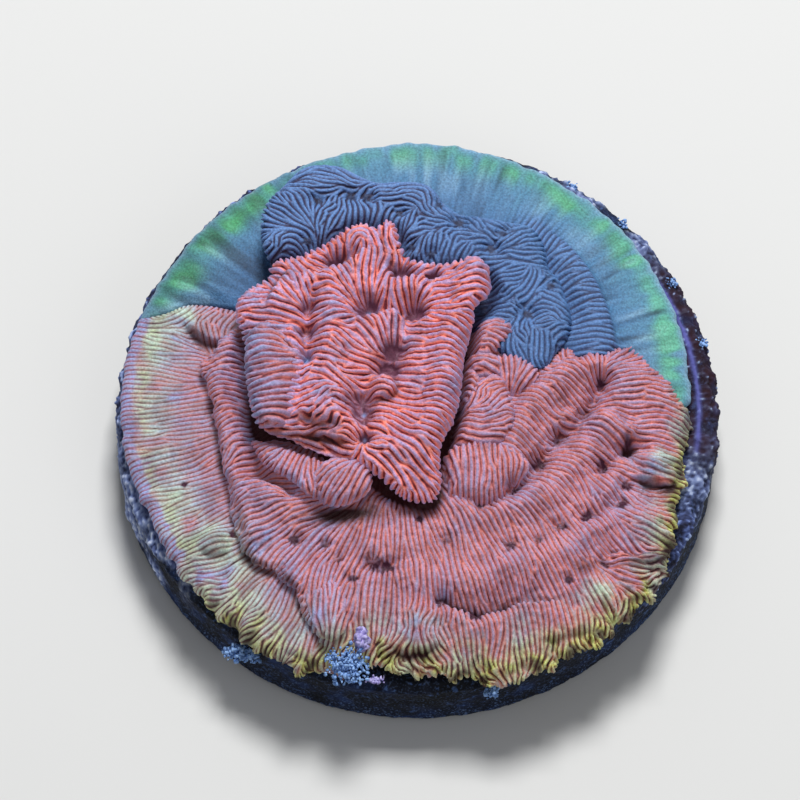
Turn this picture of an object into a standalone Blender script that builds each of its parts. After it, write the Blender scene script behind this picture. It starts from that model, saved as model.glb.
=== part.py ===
"""Leptoseris coral, two grafted colonies grown over a round ceramic frag disc.

The origin is the centre of the disc's flat underside, +Z is up, and the red colony's wide
front plate faces -Y. The design is worked out in millimetres and written to the meshes in
metres. Each plate is a grid or a half sphere whose points are moved on to the plate's
outline and up to its relief: a base slope with crests, knolls, grooves and calice pits.
"""

import math

import bmesh
import bpy
import numpy as np
from mathutils import Vector

# ---- driving dimensions, in millimetres ----
MM = 0.001
GAP = 0.3            # clearance between neighbouring solids
MARGIN = 0.1         # extra clearance where two curved, faceted faces pass each other

DISC_RADIUS = 15.0
DISC_HEIGHT = 4.0
DISC_CHAMFER = 0.4
DISC_SEGMENTS = 96

CORAL_FLOOR = DISC_HEIGHT + GAP      # underside of the two colonies
RIM_TOP = 4.95                       # top of the thin growing edge
EDGE_ROUND = 0.55                    # how far in from the edge a plate rounds over
SEAT = 6.35                          # flat on the front plate that the crown stands on
CROWN_FLOOR = SEAT + GAP
CROWN_LIP = 7.75                     # free edge of the crown
CROWN_OVERHANG = 0.09                # share of the crown's radius that is undercut

# ---- outlines, anticlockwise from above, as (x, y) ----
CROWN_CENTRE = (-2.6, 1.6)
CROWN_OUTLINE = [
    (3.4, 6.1), (3.2, 4.6), (2.5, 2.4), (2.0, -0.6), (1.2, -3.2), (1.1, -5.2),
    (0.2, -6.0), (-1.6, -5.0), (-3.4, -3.9), (-6.0, -3.0), (-8.1, -1.9), (-8.7, 0.3),
    (-8.9, 3.2), (-8.3, 5.2), (-6.2, 7.0), (-3.4, 8.5), (-1.4, 8.7), (-0.3, 6.9),
    (2.0, 6.6),
]
# The rim of the whole growth, as (degrees, radius).
RIM = [
    (0, 13.8), (20, 14.0), (45, 14.3), (75, 14.6), (120, 14.7), (150, 14.4), (180, 14.1),
    (205, 14.5), (232, 15.0), (248, 15.3), (258, 14.2), (272, 14.3), (290, 15.3),
    (315, 15.4), (330, 14.7), (345, 13.9),
]
FRONT_CENTRE = (0.5, -4.0)
STEP_EDGE = [
    (-8.7, 4.4), (-9.8, 2.9), (-10.6, 1.4), (-10.2, -1.4), (-9.5, -4.6), (-8.8, -7.5),
    (-7.7, -9.1), (-6.2, -10.3), (-5.0, -12.4), (-4.4, -13.6),
]
SEAM = [
    (13.6, -0.1), (12.2, 1.5), (10.8, 2.7), (9.4, 3.1), (7.7, 2.7), (6.2, 1.8),
    (5.4, 2.6), (4.6, 3.7), (3.6, 5.0), (1.6, 6.0), (-1.2, 7.0), (-3.8, 7.0), (-6.6, 6.0),
]
SEAM_LEFT = [(-9.0, 5.1), (-11.3, 5.2), (-13.4, 4.8)]

# ---- relief: crests, grooves and flat-topped bands are (points, width, height at the first
# point, height at the last), knolls are (x, y, radius x, radius y, turn in degrees, height),
# pits are (x, y) ----
CROWN_CRESTS = [
    ([(2.8, 5.5), (2.3, 3.0), (1.6, 0.3), (1.1, -1.9), (0.6, -4.0)], 0.9, 1.0, 0.8),
    ([(-4.1, 4.4), (-3.8, 1.4), (-3.7, -1.4)], 0.75, 0.6, 0.5),
    ([(-3.3, 3.3), (-1.9, 3.2), (-0.6, 3.0)], 0.5, 0.45, 0.35),
    ([(-2.4, 7.9), (-2.3, 6.4), (-1.6, 5.2)], 0.6, 0.6, 0.5),
    ([(-6.9, 5.6), (-5.2, 5.2), (-3.9, 5.3)], 0.6, 0.4, 0.4),
]
CROWN_KNOLLS = [
    (-7.2, 0.7, 1.3, 1.9, 0, 0.6), (-6.9, 4.3, 1.1, 0.8, 20, 0.5),
    (-2.7, 7.6, 0.8, 0.6, 0, 0.3), (-1.5, 7.9, 0.5, 0.7, 0, 0.35),
    (-2.0, -0.2, 0.6, 0.6, 0, 0.4), (0.0, -5.1, 1.3, 0.7, -15, 0.45),
    (0.2, 4.9, 0.7, 0.7, 0, 0.3), (-5.4, -1.6, 1.6, 0.8, 10, 0.35),
]
CROWN_PITS = [
    (-4.0, 6.3), (-2.4, 4.1), (-0.9, 6.1), (0.3, 3.7), (-5.6, 3.2), (-5.5, 1.2),
    (-1.2, 1.3), (-2.7, -1.3), (-2.7, -3.0),
]
FRONT_CRESTS = [
    ([(4.2, -2.1), (4.9, -0.6), (6.2, 1.0), (7.4, 1.6)], 0.75, 0.6, 0.6),
    ([(2.3, -6.3), (4.6, -6.0), (6.6, -5.0), (8.0, -3.4), (9.5, -1.4)], 0.8, 0.35, 0.35),
    ([(-0.5, -9.6), (2.5, -9.9), (5.5, -9.3), (8.0, -8.0), (9.5, -6.4)], 0.9, 0.3, 0.3),
    ([(-9.2, 2.6), (-9.7, 0.8), (-9.4, -1.6), (-8.8, -4.6), (-8.1, -7.0)], 0.8, 0.4, 0.4),
    ([(2.2, -11.1), (3.7, -10.9), (5.2, -10.6), (7.0, -10.2)], 0.5, 0.25, 0.25),
    ([(9.3, -8.6), (11.2, -8.4), (12.8, -7.9)], 0.4, -0.4, -0.4),
]
FRONT_KNOLLS = [
    (-3.7, -5.6, 1.1, 1.0, 0, 1.0), (-5.6, -4.6, 1.5, 0.8, -25, 0.4),
    (3.6, -1.2, 1.0, 1.4, 0, 0.65), (3.1, -3.9, 1.5, 0.8, -10, 0.6),
    (4.1, 2.6, 0.8, 0.7, 0, 0.5), (4.9, 1.0, 0.8, 0.9, 0, 0.4),
    (-4.7, -11.4, 1.2, 1.2, 0, 0.45), (0.1, -11.9, 1.0, 0.8, 0, 0.4),
    (10.6, 0.6, 1.8, 1.3, -30, 0.45), (12.1, -2.7, 1.1, 0.8, 0, 0.4),
    (11.0, -7.1, 1.3, 0.8, 10, 0.35), (-8.2, -5.3, 0.9, 0.7, -40, 0.2),
]
FRONT_PITS = [
    (4.9, -4.7), (6.1, -3.4), (6.9, -1.9), (8.2, -0.6), (9.2, 1.0), (3.3, -5.7),
    (4.7, -7.8), (7.2, -6.7), (9.2, -3.3), (10.6, -2.3), (1.2, -10.6), (9.4, -8.5),
    (10.1, -5.3), (-1.9, -8.8), (-4.0, -8.7), (-0.6, -6.9),
]
GREY_BANDS = [
    ([(-6.3, 7.6), (-5.7, 9.6), (-4.2, 10.5), (-1.6, 10.1), (1.2, 9.3), (3.6, 8.0),
      (5.1, 6.2), (5.5, 4.0)], 1.9, 2.1, 1.1),
    ([(6.9, 8.2), (7.9, 6.6), (8.6, 5.0), (9.0, 4.0)], 0.8, 0.9, 0.7),
]
GREY_CRESTS = [
    ([(-7.0, 9.0), (-5.6, 10.9), (-3.6, 11.3), (-1.4, 10.9)], 0.6, 0.3, 0.25),
    ([(5.9, 8.6), (6.6, 7.2), (7.2, 5.7), (7.5, 4.2)], 0.35, -0.35, -0.35),
]
GREY_KNOLLS = [
    (4.9, 4.7, 0.7, 0.7, 0, 0.3), (-7.0, 7.8, 0.8, 0.8, 0, 0.3), (-5.9, 11.1, 0.8, 0.6, 0, 0.2),
]
GREY_PITS = [
    (-5.5, 8.7), (-4.9, 10.1), (-3.2, 9.9), (-1.4, 9.4), (2.0, 9.2), (3.8, 7.9),
    (5.4, 6.2), (5.4, 4.0),
]
SHELF_CRESTS = [
    ([(-11.4, 4.6), (-10.4, 3.9)], 0.5, 0.3, 0.3),
    ([(-13.2, -2.6), (-11.0, -2.2)], 0.8, 0.15, 0.15),
    ([(-11.6, -8.0), (-9.6, -6.6)], 0.8, 0.2, 0.2),
    ([(-8.4, -11.6), (-6.9, -9.9)], 0.7, 0.15, 0.15),
]
PIT_RADIUS = 0.5
PIT_DEPTH = 0.3

# ---- grid sizes: steps along an outline, and rings from its middle to the edge ----
CROWN_GRID = (70, 17)
FRONT_GRID = (84, 16)
GREY_GRID = (68, 13)
SHELF_GRID = (42, 7)


# ---- curves ----
def smooth_curve(points, closed=False, steps=12):
    """Catmull-Rom curve through the points, as an array of (x, y)."""
    p = np.array(points, float)
    if closed:
        p = np.vstack([p[-1:], p, p[:2]])
    else:
        p = np.vstack([2 * p[0] - p[1], p, 2 * p[-1] - p[-2]])
    t = np.linspace(0, 1, steps, endpoint=False)[:, None]
    spans = []
    for a, b, c, d in zip(p, p[1:], p[2:], p[3:]):
        spans.append(0.5 * (2 * b + (c - a) * t + (2 * a - 5 * b + 4 * c - d) * t ** 2
                            + (3 * b - a - 3 * c + d) * t ** 3))
    if not closed:
        spans.append(p[-2:-1])
    return np.vstack(spans)


def along(curve, share):
    """Points at the given shares of an open curve's length."""
    run = np.r_[0, np.cumsum(np.hypot(*np.diff(curve, axis=0).T))]
    at = np.asarray(share) * run[-1]
    return np.stack([np.interp(at, run, curve[:, 0]), np.interp(at, run, curve[:, 1])], -1)


def rim_radius(degrees):
    """Radius of the growth's rim at an angle about the disc's axis, smooth all the way round."""
    angle, radius = np.array(RIM, float).T
    angle = np.r_[angle - 360, angle, angle + 360]
    radius = np.tile(radius, 3)
    blur = np.linspace(-8, 8, 9)
    return np.mean([np.interp(np.asarray(degrees) % 360 + b, angle, radius) for b in blur], axis=0)


def rim_arc(start, stop, count=60):
    """The rim between two angles, as (x, y)."""
    turn = np.linspace(start, stop, count)
    r = rim_radius(turn)
    return np.stack([r * np.cos(np.radians(turn)), r * np.sin(np.radians(turn))], -1)


def polar_outline(curve, centre):
    """A function that gives a closed curve's radius about a centre for any angle in radians."""
    rel = curve - np.array(centre)
    angle = np.arctan2(rel[:, 1], rel[:, 0])
    order = np.argsort(angle)
    angle = angle[order]
    radius = np.hypot(rel[:, 0], rel[:, 1])[order]
    angle = np.r_[angle - 2 * math.pi, angle, angle + 2 * math.pi]
    radius = np.tile(radius, 3)
    return lambda a: np.interp(a, angle, radius)


# ---- relief ----
def nearest_on(points, x, y):
    """Distance from each (x, y) to a line through the points, and how far along it that is."""
    curve = smooth_curve(points, steps=5)
    best = np.full(np.shape(x), 1e9)
    share = np.zeros(np.shape(x))
    for i, ((ax, ay), (bx, by)) in enumerate(zip(curve, curve[1:])):
        span = max((bx - ax) ** 2 + (by - ay) ** 2, 1e-9)
        t = np.clip(((x - ax) * (bx - ax) + (y - ay) * (by - ay)) / span, 0, 1)
        away = np.hypot(x - ax - t * (bx - ax), y - ay - t * (by - ay))
        share = np.where(away < best, (i + t) / (len(curve) - 1), share)
        best = np.minimum(best, away)
    return best, share


def relief(x, y, crests, knolls, pits, bands=()):
    """Height that the crests, knolls, pits and flat-topped bands add at (x, y)."""
    z = np.zeros(np.shape(x))
    for lines, power in ((crests, 2), (bands, 4)):
        for points, width, first, last in lines:
            away, share = nearest_on(points, x, y)
            z = z + (first + (last - first) * share) * np.exp(-(away / width) ** power)
    for cx, cy, rx, ry, turn, height in knolls:
        c, s = math.cos(math.radians(turn)), math.sin(math.radians(turn))
        u = ((x - cx) * c + (y - cy) * s) / rx
        v = ((y - cy) * c - (x - cx) * s) / ry
        z = z + height * np.exp(-(u * u + v * v))
    for cx, cy in pits:
        z = z - PIT_DEPTH * np.exp(-((x - cx) ** 2 + (y - cy) ** 2) / PIT_RADIUS ** 2)
    return z


def rim_share(x, y):
    """How far in from the growth's rim a point is, in millimetres."""
    return rim_radius(np.degrees(np.arctan2(y, x))) - np.hypot(x, y)


def edge_drop(inward):
    """How much a plate's rounded edge falls, by distance in from it."""
    t = np.clip(1 - inward / EDGE_ROUND, 0, 1)
    return 0.25 * t * t


def crown_share(x, y):
    """0 at the crown's middle and 1 on its outline."""
    rx, ry = x - CROWN_CENTRE[0], y - CROWN_CENTRE[1]
    return np.hypot(rx, ry) / crown_radius(np.arctan2(ry, rx))


def crown_underside(x, y):
    """Height of the crown's underside: flat, then up to the free edge."""
    f = crown_share(x, y)
    up = np.clip((f - 1 + CROWN_OVERHANG) / CROWN_OVERHANG, 0, 1)
    return np.where(f > 1, 1e9, CROWN_FLOOR + (CROWN_LIP - 0.35 - CROWN_FLOOR) * up)


def crown_top(x, y):
    f = np.clip(crown_share(x, y), 0, 1)
    z = CROWN_LIP + 0.75 * (1 - f ** 5) + 0.03 * y
    return z + relief(x, y, CROWN_CRESTS, CROWN_KNOLLS, CROWN_PITS) * (1 - f ** 10)


def under_crown(x, y, z):
    """Keeps a lower plate clear of the crown."""
    return np.minimum(z, crown_underside(x, y) - GAP - MARGIN * (crown_share(x, y) > 0.8))


def front_top(x, y):
    inward = rim_share(x, y)
    z = RIM_TOP + 1.5 * (1 - np.exp(-np.clip(inward, 0, 20) / 5.5)) - edge_drop(inward)
    lift = 0.45 * np.exp(-(nearest_on(STEP_EDGE, x, y)[0] / 2.5) ** 2) * np.clip(inward / 3, 0, 1)
    z = z + lift + relief(x, y, FRONT_CRESTS, FRONT_KNOLLS, FRONT_PITS) * np.clip(inward, 0, 1)
    z = np.where(crown_share(x, y) < 1 - CROWN_OVERHANG, SEAT, z)
    return under_crown(x, y, z)


def grey_top(x, y):
    inward = rim_share(x, y)
    z = RIM_TOP + 0.9 * (1 - np.exp(-np.clip(inward, 0, 20) / 2.5)) - edge_drop(inward)
    added = relief(x, y, GREY_CRESTS, GREY_KNOLLS, GREY_PITS, GREY_BANDS)
    z = z + added * np.clip(inward / 1.5, 0, 1)
    return under_crown(x, y, z)


def shelf_top(x, y):
    inward = rim_share(x, y)
    z = RIM_TOP + 0.5 * (1 - np.exp(-np.clip(inward, 0, 20) / 2.5)) - edge_drop(inward)
    return z + relief(x, y, SHELF_CRESTS, [], []) * np.clip(inward, 0, 1)


crown_radius = polar_outline(smooth_curve(CROWN_OUTLINE, closed=True), CROWN_CENTRE)


# ---- meshes ----
def set_points(verts, x, y, z):
    for vert, px, py, pz in zip(verts, x, y, z):
        vert.co = Vector((px * MM, py * MM, pz * MM))


def make_object(name, bm, colour, roughness):
    """Turns a bmesh into a named object with its own material, in the part's collection."""
    bmesh.ops.recalc_face_normals(bm, faces=bm.faces)
    mesh = bpy.data.meshes.new(name)
    bm.to_mesh(mesh)
    bm.free()
    mesh.shade_smooth()
    mesh.set_sharp_from_angle(angle=math.radians(50))
    material = bpy.data.materials.new(name)
    material.use_nodes = True
    shader = material.node_tree.nodes["Principled BSDF"]
    shader.inputs["Base Color"].default_value = (*colour, 1)
    shader.inputs["Roughness"].default_value = roughness
    shader.inputs["Metallic"].default_value = 0
    mesh.materials.append(material)
    obj = bpy.data.objects.new(name, mesh)
    collection.objects.link(obj)
    return obj


def dome_plate(outline, centre, grid, top, floor, inset=0.0):
    """A closed plate about a centre: half a UV sphere laid out to the outline, its edge
    taken down to the floor, drawn in by the inset share, and capped flat."""
    spokes, rings = grid
    bm = bmesh.new()
    bmesh.ops.create_uvsphere(bm, u_segments=spokes, v_segments=2 * rings, radius=1)
    lower = [v for v in bm.verts if v.co.z < -0.01]
    bmesh.ops.delete(bm, geom=lower, context="VERTS")
    co = np.array([v.co for v in bm.verts])
    share = np.arccos(np.clip(co[:, 2], 0, 1)) / (math.pi / 2)
    angle = np.arctan2(co[:, 1], co[:, 0])
    reach = share * outline(angle)
    x = centre[0] + reach * np.cos(angle)
    y = centre[1] + reach * np.sin(angle)
    set_points(bm.verts, x, y, top(x, y))
    rim = [e for e in bm.edges if e.is_boundary]
    wall = bmesh.ops.extrude_edge_only(bm, edges=rim)["geom"]
    foot = [v for v in wall if isinstance(v, bmesh.types.BMVert)]
    for vert in foot:
        vert.co.x += (centre[0] * MM - vert.co.x) * inset
        vert.co.y += (centre[1] * MM - vert.co.y) * inset
        vert.co.z = floor * MM
    bmesh.ops.contextual_create(bm, geom=[e for e in bm.edges if e.is_boundary])
    return bm


def strip_plate(inner, outer, grid, top, floor):
    """A closed plate between two curves: a grid stretched from one to the other, with
    its whole sheet carried straight down to the flat floor."""
    steps, rows = grid
    bm = bmesh.new()
    bmesh.ops.create_grid(bm, x_segments=steps, y_segments=rows, size=0.5)
    co = np.array([v.co for v in bm.verts])
    share, across = co[:, 0] + 0.5, co[:, 1:2] + 0.5
    p = along(inner, share) * (1 - across) + along(outer, share) * across
    set_points(bm.verts, p[:, 0], p[:, 1], top(p[:, 0], p[:, 1]))
    rim = [e for e in bm.edges if e.is_boundary]
    wall = bmesh.ops.extrude_edge_only(bm, edges=rim)["geom"]
    for vert in wall:
        if isinstance(vert, bmesh.types.BMVert):
            vert.co.z = floor * MM
    bmesh.ops.contextual_create(bm, geom=[e for e in bm.edges if e.is_boundary])
    return bm


# ---- sub-parts ----
def frag_disc():
    """The cast ceramic disc, a turned profile with a chamfer top and bottom."""
    r, h, c = DISC_RADIUS, DISC_HEIGHT, DISC_CHAMFER
    profile = [(0, h), (r - c, h), (r, h - c), (r, c), (r - c, 0), (0, 0)]
    bm = bmesh.new()
    verts = [bm.verts.new((px * MM, 0, pz * MM)) for px, pz in profile]
    for a, b in zip(verts, verts[1:]):
        bm.edges.new((a, b))
    mesh = bpy.data.meshes.new("frag_disc")
    bm.to_mesh(mesh)
    bm.free()
    obj = bpy.data.objects.new("frag_disc", mesh)
    collection.objects.link(obj)
    screw = obj.modifiers.new("turn", "SCREW")
    screw.axis = "Z"
    screw.steps = DISC_SEGMENTS
    screw.render_steps = DISC_SEGMENTS
    screw.use_merge_vertices = True
    screw.merge_threshold = 0.00001
    material = bpy.data.materials.new("frag_disc")
    material.use_nodes = True
    shader = material.node_tree.nodes["Principled BSDF"]
    shader.inputs["Base Color"].default_value = (0.035, 0.04, 0.055, 1)
    shader.inputs["Roughness"].default_value = 0.8
    shader.inputs["Metallic"].default_value = 0
    mesh.materials.append(material)
    return obj


def red_crown():
    bm = dome_plate(crown_radius, CROWN_CENTRE, CROWN_GRID, crown_top, CROWN_FLOOR,
                    inset=CROWN_OVERHANG)
    return make_object("red_crown", bm, (0.62, 0.16, 0.12), 0.5)


def red_front_plate():
    """The wide plate, from the step edge round the front rim to the seam."""
    step = smooth_curve(STEP_EDGE)
    front_rim = rim_arc(253, 359, 90)
    seam = smooth_curve(SEAM)
    loop = np.vstack([step, front_rim, seam])
    bm = dome_plate(polar_outline(loop, FRONT_CENTRE), FRONT_CENTRE, FRONT_GRID, front_top,
                    CORAL_FLOOR)
    return make_object("red_front_plate", bm, (0.55, 0.17, 0.14), 0.5)


def offset(curve, distance):
    """The open curve moved to its left by a distance."""
    direction = np.gradient(curve, axis=0)
    direction /= np.hypot(*direction.T)[:, None]
    return curve + distance * np.stack([-direction[:, 1], direction[:, 0]], -1)


def grey_colony():
    """The crescent behind, from the left seam over the top to the right seam."""
    inner = offset(smooth_curve(SEAM_LEFT[::-1] + SEAM[::-1]), GAP)
    outer = rim_arc(160.6, 0.6, 120)
    bm = strip_plate(inner, outer, GREY_GRID, grey_top, CORAL_FLOOR)
    return make_object("grey_colony", bm, (0.13, 0.2, 0.29), 0.55)


def red_side_shelf():
    """The lowest plate, from the left seam down to where the front plate covers it."""
    inner = offset(smooth_curve(SEAM_LEFT[1:0:-1] + STEP_EDGE), -GAP)
    outer = rim_arc(161.0, 251.0, 80)
    bm = strip_plate(inner, outer, SHELF_GRID, shelf_top, CORAL_FLOOR)
    return make_object("red_side_shelf", bm, (0.5, 0.24, 0.2), 0.5)


for old in list(bpy.data.objects):
    bpy.data.objects.remove(old)
collection = bpy.data.collections.new("leptoseris_coral")
bpy.context.scene.collection.children.link(collection)
frag_disc()
grey_colony()
red_side_shelf()
red_front_plate()
red_crown()
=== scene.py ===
import math

import bmesh
import bpy
import numpy as np
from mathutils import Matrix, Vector


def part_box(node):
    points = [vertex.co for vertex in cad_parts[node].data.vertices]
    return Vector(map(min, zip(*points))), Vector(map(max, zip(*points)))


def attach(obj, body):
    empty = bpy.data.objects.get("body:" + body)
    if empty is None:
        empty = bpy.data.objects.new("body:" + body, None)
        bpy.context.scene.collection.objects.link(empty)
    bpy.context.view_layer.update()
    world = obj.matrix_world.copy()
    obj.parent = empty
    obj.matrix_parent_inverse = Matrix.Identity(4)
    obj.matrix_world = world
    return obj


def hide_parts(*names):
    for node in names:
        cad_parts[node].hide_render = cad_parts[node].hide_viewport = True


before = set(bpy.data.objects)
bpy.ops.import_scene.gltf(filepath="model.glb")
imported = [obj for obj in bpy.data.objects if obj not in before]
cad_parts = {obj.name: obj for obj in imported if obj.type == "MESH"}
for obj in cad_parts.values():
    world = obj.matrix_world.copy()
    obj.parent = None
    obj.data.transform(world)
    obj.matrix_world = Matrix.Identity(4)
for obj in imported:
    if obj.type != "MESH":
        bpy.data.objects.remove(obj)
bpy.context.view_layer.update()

mm = 0.001
discLow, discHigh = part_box("frag_disc")
discRadius = (discHigh[0] - discLow[0]) / 2 / mm
discTop = discHigh[2] / mm                  # the coral is glued and grown on to this
rimTop = discTop + 0.95                     # top of the thin growing edge
coarse = 3                                  # distances are worked out on every third grid point
graininess = 0.024                          # height of the fine grain over the red plates
skirtFoot = discTop - 0.1                   # the plates' skirts run a little way into the disc


# small helpers for colour, curves and fields
def hexToLinear(code):
    parts = [int(code[i:i + 2], 16) / 255 for i in (1, 3, 5)]
    return [p / 12.92 if p <= 0.04045 else ((p + 0.055) / 1.055) ** 2.4 for p in parts] + [1]


def smoothCurve(points, closed=False, steps=5):
    p = np.array(points, float)
    if closed:
        p = np.vstack([p[-1:], p, p[:2]])
    else:
        p = np.vstack([2 * p[0] - p[1], p, 2 * p[-1] - p[-2]])
    t = np.linspace(0, 1, steps, endpoint=False)[:, None]
    spans = []
    for a, b, c, d in zip(p, p[1:], p[2:], p[3:]):
        spans.append(0.5 * (2 * b + (c - a) * t + (2 * a - 5 * b + 4 * c - d) * t ** 2
                            + (3 * b - a - 3 * c + d) * t ** 3))
    if not closed:
        spans.append(p[-2:-1])
    return np.vstack(spans)


def smoothStep(value):
    value = np.clip(value, 0, 1)
    return value * value * (3 - 2 * value)


def bell(away, width):
    # 1 at nought, falling away smoothly over the width
    return np.exp(-(away / width) ** 2)


def makeGrid(low, high, step):
    # a square lattice seen from above; small is the thinned copy that distances are found on
    nx = int((high[0] - low[0]) / step / coarse) * coarse + 1
    ny = int((high[1] - low[1]) / step / coarse) * coarse + 1
    x, y = np.meshgrid(low[0] + np.arange(nx) * step, low[1] + np.arange(ny) * step)
    return {"x": x, "y": y, "step": step, "smallX": x[::coarse, ::coarse], "smallY": y[::coarse, ::coarse]}


def spread(small):
    # brings a field from the thinned lattice back to the full one
    for axis in (0, 1):
        small = np.moveaxis(small, axis, 0)
        full = np.empty(((len(small) - 1) * coarse + 1,) + small.shape[1:], small.dtype)
        for k in range(coarse):
            full[k:-1:coarse] = small[:-1] * (1 - k / coarse) + small[1:] * (k / coarse)
        full[-1] = small[-1]
        small = np.moveaxis(full, 0, axis)
    return small


def fromSpan(x, y, ax, ay, dx, dy):
    # how far along a straight span the nearest point is, and the two parts of the distance to it
    t = np.clip(((x - ax) * dx + (y - ay) * dy) / max(dx * dx + dy * dy, 1e-12), 0, 1)
    return t, x - ax - t * dx, y - ay - t * dy


def lineFields(grid, curve):
    # distance to a line, how far along it the nearest point is, and the distance signed + on its left
    x, y = grid["smallX"], grid["smallY"]
    best = np.full(x.shape, 1e9)
    share, side = np.zeros(x.shape), np.ones(x.shape)
    last = len(curve) - 1
    for i in range(last):
        ax, ay = curve[i]
        dx, dy = curve[i + 1] - curve[i]
        t, offX, offY = fromSpan(x, y, ax, ay, dx, dy)
        away = np.hypot(offX, offY)
        closer = away < best
        share[closer] = (i + t[closer]) / last
        side[closer] = np.sign(dx * (y - ay) - dy * (x - ax))[closer]
        best[closer] = away[closer]
    return spread(best), spread(share), spread(best * side)


def insideBy(grid, curve):
    # distance in from a closed outline, negative outside it
    x, y = grid["smallX"], grid["smallY"]
    loop = np.vstack([curve, curve[:1]])
    away, odd = np.full(x.shape, 1e9), np.zeros(x.shape, bool)
    for (ax, ay), (bx, by) in zip(loop, loop[1:]):
        dx, dy = bx - ax, by - ay
        away = np.minimum(away, np.hypot(*fromSpan(x, y, ax, ay, dx, dy)[1:]))
        crosses = (ay > y) != (by > y)
        if dy:
            odd ^= crosses & (x < ax + (y - ay) * dx / dy)
    return spread(np.where(odd, away, -away))


def insideLoop(grid, outline):
    return insideBy(grid, smoothCurve(outline, closed=True))


def knoll(grid, cx, cy, rx, ry, turn, height):
    # a round swelling, or a sunk one where the height is below nought
    c, s = math.cos(math.radians(turn)), math.sin(math.radians(turn))
    u = ((grid["x"] - cx) * c + (grid["y"] - cy) * s) / rx
    v = ((grid["y"] - cy) * c - (grid["x"] - cx) * s) / ry
    return height * np.exp(-(u * u + v * v))


# every ledge: width of its drop, how far its shelf and its foot reach, and its shaded line
ledgeForm = {"drop": 0.16, "reach": 1.1, "shadeOff": 0.1, "shadeWidth": 0.13, "darkest": 0.9}


def relief(grid, shape):
    # long crests and troughs, round knolls, and ledges that drop on their right-hand side
    z = np.zeros(grid["x"].shape)
    for points, width, first, last in shape.get("crests", ()):
        away, share, _ = lineFields(grid, smoothCurve(points))
        z += (first + (last - first) * share) * bell(away, width)
    for spot in shape.get("knolls", ()):
        z += knoll(grid, *spot)
    for points, height in shape.get("ledges", ()):
        away, share, side = lineFields(grid, smoothCurve(points))
        drop = smoothStep(0.5 + side / ledgeForm["drop"]) - 0.5
        z += height * fadedEnds(share, 4) * drop * bell(away, ledgeForm["reach"])
    return z


def fadedEnds(share, steep):
    return np.clip(steep * share, 0, 1) * np.clip(steep - steep * share, 0, 1)


def creases(grid, shape):
    # the shaded line at the foot of each ledge
    dark = np.zeros(grid["x"].shape)
    for points, height in shape["ledges"]:
        _, share, side = lineFields(grid, smoothCurve(points))
        depth = min(1.4 * height, ledgeForm["darkest"]) * fadedEnds(share, 5)
        dark = np.maximum(dark, depth * bell(side + ledgeForm["shadeOff"], ledgeForm["shadeWidth"]))
    return dark


def pitField(grid, mouths, radius, squash=0.85):
    # 1 in the floor of each mouth, nought outside
    field = np.zeros(grid["x"].shape)
    for x, y, size in mouths:
        field = np.maximum(field, knoll(grid, x, y, radius * size, radius * size * squash, 0, 2.0))
    return np.clip(field, 0, 1)


def spots(grid, rows):
    return sum(knoll(grid, *row) for row in rows)


def frequencies(shape, step):
    return np.meshgrid(np.fft.rfftfreq(shape[1], step), np.fft.fftfreq(shape[0], step))


def blur(field, width, step):
    # Gaussian blur, width in millimetres
    pad = int(3 * width / step) + 2
    wide = np.pad(field, pad, mode="edge")
    fx, fy = frequencies(wide.shape, step)
    soft = np.fft.irfft2(np.fft.rfft2(wide) * np.exp(-2 * (math.pi * width) ** 2 * (fx ** 2 + fy ** 2)),
                         s=wide.shape)
    return soft[pad:-pad, pad:-pad]


def noiseField(grid, size, seed):
    # smooth seeded noise of about unit height, size in millimetres
    raw = np.random.default_rng(seed).standard_normal(grid["x"].shape)
    soft = blur(raw, size / 2.5, grid["step"])
    return soft / soft.std()


def streakField(grid, along, across, seed, middle=12, farthest=22):
    # noise drawn out from the disc's axis: along and across are the blotch sizes in millimetres,
    # true at the middle radius
    length = np.hypot(grid["x"], grid["y"]) / along
    around = 2 * math.pi * middle / across
    turn = (np.degrees(np.arctan2(grid["y"], grid["x"])) % 360) / 360 * around
    raw = np.random.default_rng(seed).standard_normal((int(around) + 3, int(farthest / along) + 3))
    i, j = turn.astype(int), length.astype(int)
    u, v = smoothStep(turn - i), smoothStep(length - j)
    return ((raw[i, j] * (1 - v) + raw[i, j + 1] * v) * (1 - u)
            + (raw[i + 1, j] * (1 - v) + raw[i + 1, j + 1] * v) * u)


def flowField(grid, strokes, pits=(), reach=0.6, inside=None, stray=0.12, seed=1, square=0.85):
    # which way the ridges run, from a few given strokes; they turn in to each mouth and
    # meet a free edge square on. The angle is doubled so that a line has no forward or back.
    near, falloff = 0.03, 1.6    # how a stroke's pull levels off close by, and dies away
    edgeReach, wander = 0.3, 0.8
    x, y = grid["smallX"], grid["smallY"]
    flow = np.zeros(x.shape, complex)
    for stroke in strokes:
        for (ax, ay), (bx, by) in zip(stroke, stroke[1:]):
            dx, dy = bx - ax, by - ay
            length = math.hypot(dx, dy)
            t = np.clip(((x - ax) * dx + (y - ay) * dy) / length ** 2, 0, 1)
            away = (x - ax - t * dx) ** 2 + (y - ay - t * dy) ** 2
            flow += length * np.exp(2j * math.atan2(dy, dx)) / (away + near) ** falloff
    flow /= np.abs(flow) + 1e-12
    for px, py, size in pits:
        share = 0.9 * bell(np.hypot(x - px, y - py), reach * size)
        flow = swing(flow, share, y - py, x - px)
    flow = spread(flow)
    if inside is not None:
        gy, gx = np.gradient(blur(inside, edgeReach / 2, grid["step"]), grid["step"])
        share = square * bell(np.clip(inside, 0, None), edgeReach)
        flow = swing(flow, share, gy, gx)
    return flow * np.exp(2j * stray * noiseField(grid, wander, seed))


def swing(flow, share, dy, dx):
    return flow * (1 - share) + share * np.exp(2j * np.arctan2(dy, dx))


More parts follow.
